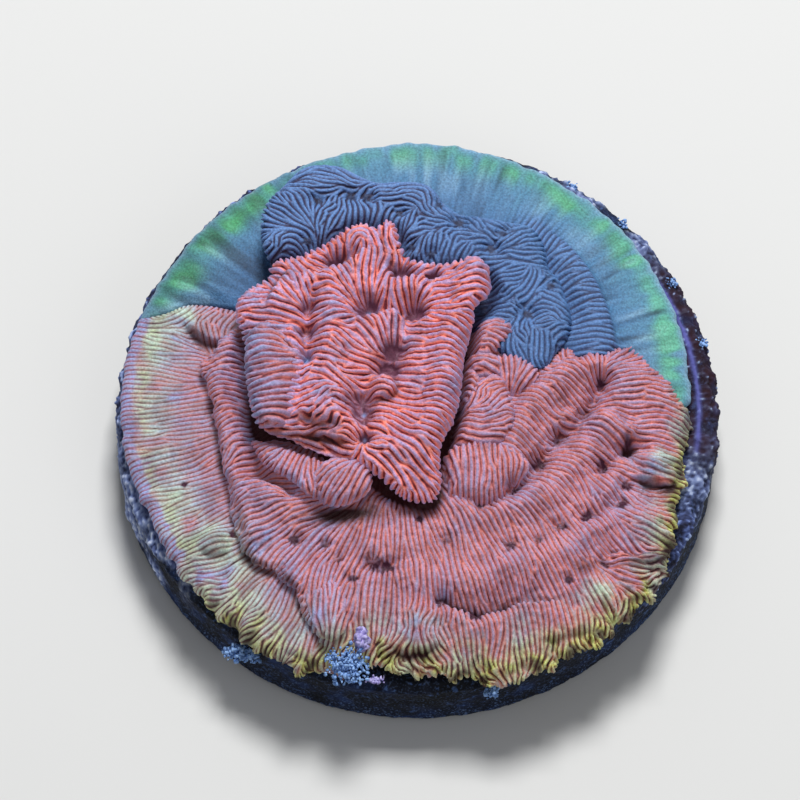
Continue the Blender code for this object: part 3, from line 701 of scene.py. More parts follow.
# the red front plate
front = {
    "area": ((-11.6, -16.2), (14.4, 4.6)), "step": 0.051, "spacing": 0.275, "lift": 0.165, "roll": 0.28,
    "cut": 2.0,              # the skin is parted here, at this x, to keep each piece light
    "climb": 1.5, "climbReach": 5.5, "bulge": 0.45, "foldHeight": 1.7, "sink": 0.7, "wander": 0.13,
    "seat": (0.0, -6.2, 1.8, 1.2, 0, 0.6),    # it sinks less here, under the crown's front tip
    "crests": [
        ([(3.2, -6.0), (4.75, -5.0), (6.1, -3.6), (6.95, -2.3), (8.25, -1.0), (9.2, 0.8)], 0.38, -0.25, -0.4),
        ([(7.2, -1.3), (8.6, -1.25), (9.8, -1.6), (10.6, -2.0)], 0.45, 0.3, 0.3),
        ([(9.2, -3.7), (10.4, -2.6), (11.2, -2.4)], 0.35, -0.25, -0.25),
        ([(8.4, -6.4), (9.4, -5.9), (10.3, -4.9)], 0.4, -0.25, -0.25),
        ([(9.4, 1.7), (10.6, 1.2), (11.8, 0.6)], 0.6, 0.25, 0.15),
        ([(-2.6, -9.0), (-1.6, -9.1), (-0.6, -8.7)], 0.4, -0.25, -0.2),
        ([(1.2, -10.9), (2.9, -11.7), (4.6, -11.3)], 0.3, -0.2, -0.25),
        ([(4.6, -3.2), (5.2, -1.6), (6.0, -0.3), (6.9, 0.6), (7.8, 1.3)], 0.85, 0.5, 0.6),
        ([(2.3, -6.4), (4.6, -6.1), (6.6, -5.0), (8.0, -3.4), (9.3, -1.6), (10.2, 0.2)], 0.7, 0.3, 0.3),
        ([(-0.5, -9.6), (2.5, -9.8), (5.5, -9.1), (7.6, -8.0), (9.0, -6.6), (9.8, -4.9)], 0.8, 0.25, 0.25),
        ([(-9.4, 2.8), (-9.9, 1.2), (-9.7, -0.8), (-9.3, -3.0), (-8.8, -5.4), (-8.2, -7.4)], 0.55, 0.35, 0.3),
        ([(-8.5, 0.0), (-8.2, -2.6), (-7.6, -4.4), (-6.4, -5.2)], 0.5, -0.25, -0.3),
        ([(1.5, -3.0), (1.8, -1.0), (2.3, 0.6), (2.6, 2.2)], 0.5, -0.3, -0.4),
    ],
    "knolls": [
        (-7.2, -5.7, 1.5, 0.9, -10, 0.4), (0.1, -12.0, 0.8, 0.8, 0, 0.35), (10.6, 1.0, 1.9, 1.2, -30, 0.3),
        (8.7, 1.7, 0.5, 0.6, 0, 0.3), (11.6, -6.8, 1.2, 0.9, -30, 0.3), (-8.3, -7.6, 0.7, 0.7, -40, 0.25),
        (9.0, -10.4, 0.7, 0.8, -50, 0.15), (12.0, -1.2, 1.2, 0.9, 0, 0.15),
        (12.0, -3.4, 1.0, 0.5, 0, 0.3),
    ],
    # shaded recesses under the folds
    "paintedShade": [
        (-3.7, -6.45, 1.8, 0.45, 5, 1.3), (-2.2, -5.6, 0.5, 0.6, 0, 0.6), (0.2, -6.35, 1.2, 0.2, 0, 0.4),
        (-8.1, -8.9, 0.6, 0.25, -30, 0.8),
        (-6.4, -9.9, 0.6, 0.25, -50, 0.7), (12.6, -4.6, 0.5, 0.25, 0, 0.9), (10.5, -2.6, 0.4, 0.2, 0, 0.35),
        (8.4, -9.0, 0.7, 0.3, 10, 0.5),
        (11.3, -8.6, 1.4, 0.2, 10, 0.7), (-0.2, -13.6, 1.0, 0.25, 0, 0.7),
    ],
    "wild": [(0.2, -12.2, 1.0, 1.0, 0, 0.8), (9.3, -5.6, 1.4, 0.4, -40, 0.6), (-0.6, -13.9, 1.4, 0.7, 0, 0.6)],
    "ledges": [
        ([(10.6, -4.0), (11.6, -4.25), (12.6, -4.25), (13.1, -4.0)], 0.55),
        ([(10.0, -2.75), (10.5, -2.35), (11.0, -2.3)], 0.3),
        ([(-1.6, -12.9), (-0.7, -13.4), (0.4, -13.3), (1.2, -12.9)], 0.35),
        ([(6.0, -12.8), (7.1, -12.6), (8.1, -12.1)], 0.25),
        ([(7.6, -10.5), (6.4, -10.95), (5.2, -11.05), (3.9, -11.4), (2.9, -11.55), (1.7, -11.1), (0.8, -10.5)],
        0.65),
        ([(12.9, -7.8), (11.9, -8.1), (10.9, -8.35), (10.0, -8.2), (9.3, -8.4)], 0.4),
        ([(-6.2, -5.4), (-6.9, -4.85), (-7.7, -4.6), (-8.4, -4.6), (-9.0, -5.1)], 0.3),
    ],
    "pits": [
        (4.75, -4.8, 1.0), (6.1, -3.45, 1.0), (6.95, -2.1, 0.8), (8.25, -0.8, 0.8), (9.25, 0.9, 0.8),
        (1.4, -7.7, 0.8),
        (3.2, -5.9, 1.0), (4.7, -7.9, 0.9), (6.0, -7.7, 0.7), (7.1, -6.9, 0.8), (8.4, -6.3, 1.1),
        (9.2, -3.6, 0.9),
        (10.5, -2.5, 1.1), (1.2, -10.9, 1.0), (2.9, -11.6, 0.9), (7.5, -9.7, 0.7), (9.4, -8.7, 0.9),
        (10.1, -5.6, 0.9), (10.4, -4.5, 0.9), (-1.4, -5.0, 0.9), (-6.2, -7.7, 0.9), (-4.6, -7.9, 0.7),
        (-4.0, -8.7, 0.7), (-2.2, -8.7, 1.2), (-1.5, -9.0, 1.0), (-3.2, -9.7, 0.8), (0.1, -6.6, 0.5),
    ],
    "strokes": [
        [(6.4, 1.3), (7.2, 1.3), (8.0, 0.8), (8.6, 0.2)], [(6.1, 0.6), (7.0, 0.4), (7.8, -0.5)],
        [(5.7, 0.1), (6.5, -0.2), (7.1, -1.0)], [(5.2, -0.5), (6.0, -0.8), (6.7, -1.7)],
        [(4.9, -1.2), (5.7, -1.5), (6.3, -2.3)], [(4.8, -1.9), (5.5, -2.4), (6.0, -3.1)],
        [(4.5, -2.6), (5.2, -3.0), (5.8, -3.6)],
        [(7.0, 1.8), (7.7, 1.8), (8.3, 1.3)], [(7.2, 2.6), (7.2, 2.0)], [(8.4, 2.0), (8.8, 1.2)],
        [(9.2, 2.1), (9.2, 1.3)],
        [(9.6, 1.5), (10.3, 2.0), (11.0, 2.3)], [(9.7, 1.1), (10.8, 1.4), (11.9, 1.6)],
        [(9.6, 0.6), (11.0, 0.7), (12.4, 1.0)],
        [(9.0, -0.1), (10.5, 0.0), (11.6, 0.3), (12.9, 0.1)], [(8.7, -0.7), (10.0, -0.7), (11.0, -1.0)],
        [(11.1, -0.7), (12.2, -0.5), (13.3, -0.7)], [(11.0, -1.5), (12.0, -1.3), (13.3, -1.5)],
        [(11.0, -2.1), (12.0, -2.1), (13.2, -2.3)], [(8.5, -1.0), (9.5, -1.1), (10.4, -1.8)],
        [(7.3, -1.5), (8.2, -1.4), (9.2, -1.7), (10.0, -2.5)], [(7.2, -2.1), (8.2, -2.1), (9.3, -2.7)],
        [(6.6, -2.7), (7.6, -2.6), (8.8, -3.1)], [(10.8, -2.5), (12.0, -2.5), (13.0, -2.7)],
        [(10.6, -3.0), (11.2, -3.6), (12.0, -3.9), (12.9, -3.9)], [(10.7, -4.3), (11.4, -4.3), (12.5, -4.2)],
        [(10.6, -4.7), (11.3, -4.8), (12.5, -5.0)], [(10.4, -5.1), (11.0, -5.7), (12.4, -5.9)],
        [(10.2, -5.9), (11.0, -6.7), (12.3, -7.2)], [(9.5, -6.2), (10.2, -6.9), (10.8, -7.8)],
        [(5.5, -3.9), (6.5, -4.4), (7.5, -5.1), (8.2, -6.0)],
        [(6.4, -3.6), (7.6, -3.9), (8.7, -4.8), (9.8, -6.0)],
        [(7.7, -3.2), (8.8, -3.9), (9.8, -5.0)], [(5.2, -4.5), (6.2, -5.2), (7.2, -6.4), (7.8, -7.4)],
        [(4.9, -5.2), (5.7, -5.9), (6.5, -7.0), (7.1, -8.1)], [(-1.1, -5.3), (-1.2, -6.5), (-1.2, -8.4)],
        [(-0.6, -5.3), (-0.3, -6.6), (0.0, -8.2), (0.2, -9.8)],
        [(0.2, -5.4), (0.8, -6.5), (1.3, -8.0), (1.6, -9.8)],
        [(1.2, -5.0), (1.7, -6.1), (2.3, -7.6), (3.0, -9.2), (3.5, -10.8)],
        [(2.0, -5.8), (2.8, -6.8), (3.5, -8.1), (4.2, -9.7), (4.6, -10.8)],
        [(3.6, -6.1), (4.2, -7.1), (5.0, -8.6), (5.8, -10.4)],
        [(4.6, -5.6), (5.4, -6.5), (6.3, -7.8), (7.2, -9.3), (7.8, -10.6)],
        [(7.1, -7.1), (7.8, -8.0), (8.5, -9.2)],
        [(8.5, -6.6), (9.3, -7.4), (9.9, -8.0)], [(9.6, -8.9), (10.8, -8.6), (12.0, -8.5), (12.8, -8.1)],
        [(9.4, -9.1), (10.3, -9.8), (11.6, -10.0)], [(9.2, -9.5), (10.0, -10.7), (10.8, -11.6)],
        [(8.3, -9.7), (8.9, -11.0), (9.5, -12.3)], [(-2.0, -9.4), (-2.0, -10.6), (-2.2, -12.2), (-2.2, -13.6)],
        [(-0.7, -9.7), (-0.6, -11.0), (-0.7, -12.5), (-0.8, -14.0)], [(0.6, -11.0), (1.0, -12.3), (0.7, -13.6)],
        [(1.5, -11.2), (1.8, -12.7), (1.6, -14.2)], [(2.9, -11.9), (3.2, -13.1), (2.9, -14.6)],
        [(3.9, -11.6), (4.2, -12.9), (3.9, -14.3), (4.2, -15.4)], [(5.3, -11.4), (5.5, -12.8), (5.3, -14.4)],
        [(6.8, -11.0), (7.1, -12.3), (7.0, -13.7)], [(7.8, -11.0), (8.3, -12.2), (8.5, -13.1)],
        [(-1.8, -5.5), (-2.5, -6.9), (-3.0, -8.3), (-3.4, -9.7)], [(-2.4, -5.8), (-3.4, -7.0), (-4.1, -8.1)],
        [(-3.1, -6.4), (-4.5, -7.5), (-5.5, -8.8), (-6.0, -9.8)],
        [(-4.6, -6.5), (-6.0, -7.1), (-7.1, -8.2), (-7.5, -8.8)],
        [(-5.5, -6.2), (-7.0, -6.8), (-8.2, -7.8)], [(-5.4, -5.6), (-6.8, -6.0), (-8.3, -6.5), (-9.0, -7.0)],
        [(-5.8, -5.1), (-7.3, -5.1), (-8.7, -5.7)], [(-6.3, -4.6), (-7.6, -4.5), (-9.0, -5.2)],
        [(-3.5, -9.1), (-4.0, -10.3), (-4.4, -12.0), (-4.3, -13.2)],
        [(-4.6, -9.1), (-5.0, -10.2), (-5.3, -11.6)],
        [(-2.6, -9.1), (-3.0, -10.6), (-3.4, -12.2), (-3.4, -13.6)],
        [(-8.7, -0.6), (-9.4, -0.9), (-10.1, -1.4)],
        [(-8.5, -2.4), (-9.2, -2.9), (-9.7, -3.7)], [(-8.0, -3.6), (-8.8, -4.1), (-9.4, -5.0)],
        [(-9.0, 1.3), (-10.4, 1.2)], [(-8.8, 0.3), (-10.3, 0.0)], [(-9.2, 3.4), (-9.9, 2.9)],
        [(-8.6, -1.5), (-9.8, -2.4)],
    ],
    "lobeForm": {"step": 0.05, "spacing": 0.285, "lift": 0.15, "roll": 0.22, "vivid": 0.18},
    "lobes": [
        {"outline": [(2.3, 2.5), (2.5, 3.3), (3.0, 3.95), (3.7, 4.05), (4.3, 3.85), (4.75, 3.4), (4.5, 2.9),
        (4.0, 2.4),
                     (3.4, 2.05), (2.7, 2.0)],
         "top": 7.15, "fall": 0.45, "reach": 0.8, "tilt": (0.12, 0.0),
         "root": [(2.0, 3.4), (2.1, 2.6), (2.6, 1.7)], "beside": 1.0,
         "strokes": [[(2.7, 3.3), (3.6, 3.7), (4.5, 3.4)], [(2.7, 2.8), (3.5, 3.2), (4.2, 2.7)],
         [(2.7, 2.3), (3.3, 2.6), (3.7, 2.3)]]},
        {"outline": [(3.7, 1.6), (4.1, 1.95), (4.8, 1.95), (5.4, 1.65), (5.95, 1.1), (5.7, 0.5), (5.1, 0.0),
        (4.5, -0.3),
                     (3.8, 0.2)],
         "top": 7.1, "fall": 0.4, "reach": 0.8, "tilt": (0.1, 0.12),
         "root": [(3.4, 1.0), (4.0, 0.0), (4.9, -0.5)],
         "strokes": [[(4.4, -0.1), (4.2, 0.8), (4.1, 1.7)], [(4.6, 0.0), (4.7, 0.9), (4.7, 1.8)],
         [(4.8, 0.1), (5.1, 0.8), (5.3, 1.5)],
                     [(5.0, 0.1), (5.4, 0.5), (5.8, 1.0)]]},
        {"outline": [(1.5, -2.2), (2.2, -2.75), (3.2, -2.85), (4.2, -2.7), (4.7, -2.1), (4.8, -1.2),
        (4.6, -0.4),
                     (4.3, 0.5), (3.8, 0.9), (2.9, 0.9), (2.0, 0.4), (1.6, -0.8)],
         "top": 7.3, "fall": 0.5, "reach": 1.1, "tilt": (0.14, -0.02),
         "root": [(1.4, -2.4), (1.5, -1.0), (2.0, 0.6), (3.0, 1.2)], "beside": 1.2, "stray": 0.65,
         "strokes": [[(2.1, -0.9), (3.0, -0.7), (4.6, -0.8)], [(2.1, -1.4), (3.0, -1.2), (4.7, -1.4)],
         [(2.2, -1.8), (4.6, -1.8)],
                     [(2.3, -2.3), (3.5, -2.5), (4.5, -2.3)], [(2.4, -0.3), (3.2, 0.1), (4.2, 0.2)],
                     [(2.4, 0.1), (3.3, 0.6), (4.1, 0.7)]]},
        {"outline": [(2.2, 1.2), (2.5, 1.9), (3.2, 2.05), (3.9, 1.85), (4.3, 1.2), (4.1, 0.7), (3.3, 0.6),
        (2.6, 0.7)],
         "top": 7.2, "fall": 0.35, "reach": 0.6, "tilt": (0.05, 0.1),
         "root": [(2.2, 0.6), (3.2, 0.4), (4.0, 0.4)], "beside": 1.0,
         "strokes": [[(2.4, 1.3), (3.2, 1.6), (4.0, 1.0)], [(2.6, 1.7), (3.2, 1.9), (4.0, 1.5)],
         [(2.6, 0.9), (3.3, 1.1), (3.8, 0.8)]]},
        {"outline": [(1.7, 0.6), (2.2, 1.15), (2.7, 1.1), (3.05, 0.6), (3.0, 0.0), (2.6, -0.45), (2.0, -0.5),
        (1.6, 0.0)],
         "top": 7.45, "fall": 0.4, "reach": 0.6, "tilt": (0.1, 0.0),
         "root": [(1.5, 0.9), (1.4, -0.4)], "beside": 1.0,
         "strokes": [[(1.9, 0.8), (2.5, 0.7), (2.9, 0.4)], [(1.9, 0.3), (2.5, 0.3), (2.9, 0.0)],
         [(1.9, -0.1), (2.4, -0.1), (2.6, -0.4)]]},
        {"outline": [(1.3, -3.3), (1.9, -2.95), (2.8, -2.85), (3.8, -2.85), (4.7, -3.05), (5.3, -3.6),
        (5.45, -4.1),
                     (5.0, -4.7), (4.4, -5.3), (3.2, -5.9), (1.8, -5.8), (1.2, -4.8)],
         "top": 7.1, "fall": 0.45, "reach": 1.1, "tilt": (0.0, 0.14),
         "root": [(1.0, -3.8), (1.2, -5.4), (2.4, -6.1), (3.8, -6.0), (4.8, -5.1)], "beside": 1.0,
         "pits": [(4.75, -4.85, 0.8)],
         "strokes": [[(1.9, -3.2), (2.1, -4.4), (2.2, -5.6)], [(2.9, -3.0), (3.1, -4.2), (3.1, -5.6)],
         [(3.8, -3.0), (4.0, -4.2), (3.9, -5.5)],
                     [(4.4, -3.1), (4.8, -4.0), (4.7, -4.7)], [(4.9, -3.3), (5.3, -4.0), (4.9, -4.6)]]},
        {"outline": [(-8.2, -2.2), (-8.0, -3.1), (-7.7, -3.8), (-7.1, -4.3), (-6.4, -4.7), (-5.8, -5.2),
        (-5.2, -5.8),
                     (-4.5, -5.9), (-4.0, -5.0), (-4.2, -3.6), (-5.2, -2.6), (-6.8, -2.0)],
         "top": 7.25, "fall": 0.4, "reach": 0.9, "tilt": (0.04, -0.14),
         "root": [(-8.2, -1.9), (-6.6, -1.7), (-4.9, -2.4), (-3.9, -3.8), (-4.0, -5.6)], "beside": 0.9,
         "strokes": [[(-8.0, -2.6), (-7.0, -2.6)], [(-7.8, -3.4), (-6.9, -3.0)], [(-7.3, -4.0), (-6.5, -3.2)],
         [(-6.7, -4.5), (-6.1, -3.2)],
                     [(-6.0, -5.0), (-5.7, -3.3)], [(-5.3, -5.6), (-5.1, -3.5)]]},
        {"outline": [(-5.25, -4.9), (-5.1, -5.6), (-4.5, -6.15), (-3.6, -6.15), (-2.75, -5.7), (-2.3, -5.0),
        (-2.4, -4.3),
                     (-3.1, -3.7), (-4.1, -3.6), (-4.9, -4.2)],
         "top": 8.0, "fall": 1.15, "reach": 1.35, "tilt": (0.0, 0.0), "stray": 0.08,
         "root": [(-4.2, -3.3), (-3.0, -3.4)],
         "strokes": [[(-4.9, -4.9), (-4.3, -4.2), (-3.4, -4.0)], [(-4.8, -5.6), (-4.1, -4.8), (-3.4, -4.4)],
                     [(-4.2, -6.1), (-3.5, -5.4), (-3.2, -4.7), (-3.3, -4.3)],
                     [(-3.4, -6.1), (-2.9, -5.3), (-2.7, -4.6)],
                     [(-4.6, -6.1), (-4.2, -5.4), (-3.9, -4.9)]]},
        {"outline": [(-5.5, -10.4), (-5.35, -11.4), (-5.0, -12.3), (-4.6, -12.95), (-4.1, -13.05),
        (-3.65, -12.5),
                     (-3.4, -11.7), (-3.4, -10.7), (-3.9, -9.8), (-4.8, -9.7)],
         "top": 6.35, "fall": 0.35, "reach": 0.9, "tilt": (0.0, -0.06),
         "root": [(-5.3, -9.9), (-4.4, -9.3), (-3.3, -9.9), (-3.0, -11.2)],
         "strokes": [[(-4.9, -10.2), (-5.0, -11.4), (-4.7, -12.5)],
         [(-4.3, -10.2), (-4.3, -11.5), (-4.3, -12.7)],
                     [(-3.8, -10.3), (-3.7, -11.4), (-3.9, -12.4)]]},
    ],
}


def frontSkin():
    g = makeGrid(*front["area"], front["step"])
    inside = insideBy(g, frontLoop(200))
    inside += (0.09 * noiseField(g, 0.9, 41) + 0.06 * noiseField(g, 0.4, 43)) * bell(inside, 0.8)
    inward, turn = rimShare(g)
    crownIn = insideLoop(g, crown["outline"])
    step = lineFields(g, smoothCurve(growth["stepEdge"]))[0]
    base = plateTop(inward, front["climb"], front["climbReach"])
    base = base + front["bulge"] * bell(step, 2.2) * np.clip(inward / 3, 0, 1)
    pits = pitField(g, front["pits"], 0.29 + 0.07 * noiseField(g, 0.3, 38))
    folds = relief(g, front)
    height = base + front["foldHeight"] * folds * np.clip(inward / 1.5, 0, 1)
    height = height - 0.2 * pitField(g, front["pits"], 0.45)
    height += (0.1 * noiseField(g, 0.7, 12) + 0.07 * noiseField(g, 0.3, 22)) * bell(inward, 0.7)
    height += 0.035 * noiseField(g, 0.9, 13)
    gap = besideCrown(g)
    height -= (front["sink"] - knoll(g, *front["seat"])) * bell(gap, 0.5)
    # painted shade in the crevice beside the crown, weaker at its left end, plus the listed recesses and the
    # feet of ledges
    paintedShade = bell(gap, 0.3) * (0.7 + 0.3 * smoothStep((g["x"] + 8.6) / 0.6))
    paintedShade = paintedShade + spots(g, front["paintedShade"]) + creases(g, front)
    paintedShade += np.clip(-0.9 * folds - 0.08, 0, 0.25)    # painted shade: the troughs are darker
    frilly = bell(inward, 0.9) * (turn < 325) + spots(g, front["wild"])
    stray = front["wander"] + 0.5 * frilly
    flow = flowField(g, front["strokes"], front["pits"], 0.33, inside, stray=stray, seed=3)
    ridge = ridgeField(g, flow, front["spacing"], 21)
    uneven = 1 + 0.2 * noiseField(g, 0.7, 14) + 0.8 * frilly
    lifted = front["lift"] * ridgeLift(ridge) * (1 - 0.4 * pits) * uneven + graininess * noiseField(g, 0.2, 16)
    looks = paintRed(g, ridge, pits, paintedShade=paintedShade)
    height = blur(height, 0.05, g["step"])
    return makeSkin(g, inside, height, lifted, front["roll"], skirtFoot, looks, crownIn > 1.0, pull=0.45)


def frontLobes():
    return [lobeSkin(lobe, {**front["lobeForm"], "floor": lobe["top"] - 1.3}, 70 + seed)
            for seed, lobe in enumerate(front["lobes"])]


# the red side shelf
shelf = {
    "area": ((-16.0, -16.0), (-3.2, 6.4)), "step": 0.051, "spacing": 0.255, "lift": 0.075, "roll": 0.26,
    "climb": 0.5, "climbReach": 2.5, "wander": 0.16,
    "under": (1.3, 0.3),     # how far it runs on under the front plate
    "crests": [
        ([(-11.9, 4.4), (-11.2, 3.5), (-10.4, 2.6)], 0.3, -0.25, -0.35),
        ([(-13.3, -2.6), (-11.0, -2.3)], 0.6, 0.12, 0.12),
        ([(-12.4, -4.0), (-11.0, -3.6)], 0.4, -0.15, -0.2),
        ([(-11.7, -8.6), (-9.6, -7.2)], 0.7, 0.15, 0.15),
        ([(-8.4, -11.8), (-6.9, -10.1)], 0.6, 0.15, 0.15),
        ([(-10.8, -11.0), (-9.6, -11.7), (-8.4, -12.3)], 0.3, 0.15, 0.15),
    ],
    "knolls": [(-10.1, -7.4, 0.85, 0.65, 30, 0.55)],
    "pits": [(-9.2, -7.2, 0.5), (-11.6, -4.4, 0.45)],
    "strokes": [
        [(-10.6, 0.8), (-12.5, 0.8), (-14.1, 0.9)], [(-10.5, -0.7), (-12.5, -0.9), (-14.2, -1.0)],
        [(-10.2, -2.3), (-12.0, -2.5), (-14.0, -2.7)], [(-10.0, -3.4), (-11.5, -4.0), (-13.8, -4.4)],
        [(-9.7, -4.8), (-11.5, -5.6), (-13.4, -6.1)], [(-9.5, -6.2), (-11.2, -7.2), (-12.9, -7.8)],
        [(-9.0, -8.3), (-10.4, -8.8), (-12.2, -9.7)], [(-8.6, -9.0), (-10.0, -10.0), (-11.2, -10.8)],
        [(-7.8, -9.6), (-9.0, -10.9), (-10.3, -11.4)], [(-7.2, -9.9), (-8.1, -11.4), (-9.2, -12.3)],
        [(-6.6, -10.4), (-7.2, -12.0), (-8.3, -13.2)], [(-6.1, -11.2), (-6.4, -12.7), (-7.2, -13.9)],
        [(-5.5, -12.2), (-5.6, -13.4), (-6.0, -14.5)], [(-10.9, 2.0), (-12.4, 2.3), (-14.0, 2.6)],
        [(-11.4, 3.5), (-12.6, 3.7), (-13.8, 4.0)], [(-9.5, 5.0), (-10.2, 4.4), (-10.1, 3.5)],
        [(-10.1, 5.1), (-10.8, 4.6), (-10.7, 3.9)], [(-10.9, 5.3), (-11.5, 4.9)],
        [(-9.2, 4.6), (-9.6, 4.1), (-9.5, 3.7)],
    ],
    "ledges": [([(-11.7, 4.5), (-10.9, 3.7), (-10.1, 3.3), (-9.3, 3.6)], 0.6),
    ([(-10.9, -7.9), (-10.1, -8.2), (-9.3, -8.0)], 0.3)],
}


def shelfSkin():
    g = makeGrid(*shelf["area"], shelf["step"])
    inside = insideBy(g, shelfLoop(200, shelf["under"]))
    inward, turn = rimShare(g)
    pits = pitField(g, shelf["pits"], 0.3)
    height = plateTop(inward, shelf["climb"], shelf["climbReach"]) + relief(g, shelf) * np.clip(inward, 0, 1)
    height = height - 0.15 * pits
    height += 0.06 * noiseField(g, 0.7, 15) * bell(inward, 0.7)
    frilly = bell(inward, 1.0) * smoothStep((turn - 208) / 15)
    height += (0.12 * noiseField(g, 0.7, 34) + 0.07 * noiseField(g, 0.3, 35)) * frilly
    stray = shelf["wander"] + 0.5 * frilly
    flow = flowField(g, shelf["strokes"], shelf["pits"], 0.4, inside, stray=stray, seed=4)
    ridge = ridgeField(g, flow, shelf["spacing"], 61)
    worn = 1 - 0.7 * bell(inward, 0.8) * (turn < 235)    # rubbed nearly smooth along its left rim
    edge = lineFields(g, smoothCurve(growth["stepEdge"]))[0]
    # painted shade in broken lengths along the foot of the step
    foot = bell(edge, 0.24) * np.clip(0.5 + 0.4 * noiseField(g, 0.9, 42), 0, 0.9)
    pale = 0.9 - 0.5 * bell(edge, 1.2) + 0.1 * noiseField(g, 1.2, 29)
    pale = pale - 0.2 * np.clip(streakField(g, 1.6, 0.4, 40), 0, 1.5)
    lifted = shelf["lift"] * ridgeLift(ridge) * worn * (1 + 1.2 * frilly)
    looks = paintRed(g, ridge, pits, pale, foot + creases(g, shelf))
    height = blur(height, 0.06, g["step"])
    return makeSkin(g, inside, height, lifted, shelf["roll"], skirtFoot, looks, pull=0.45)


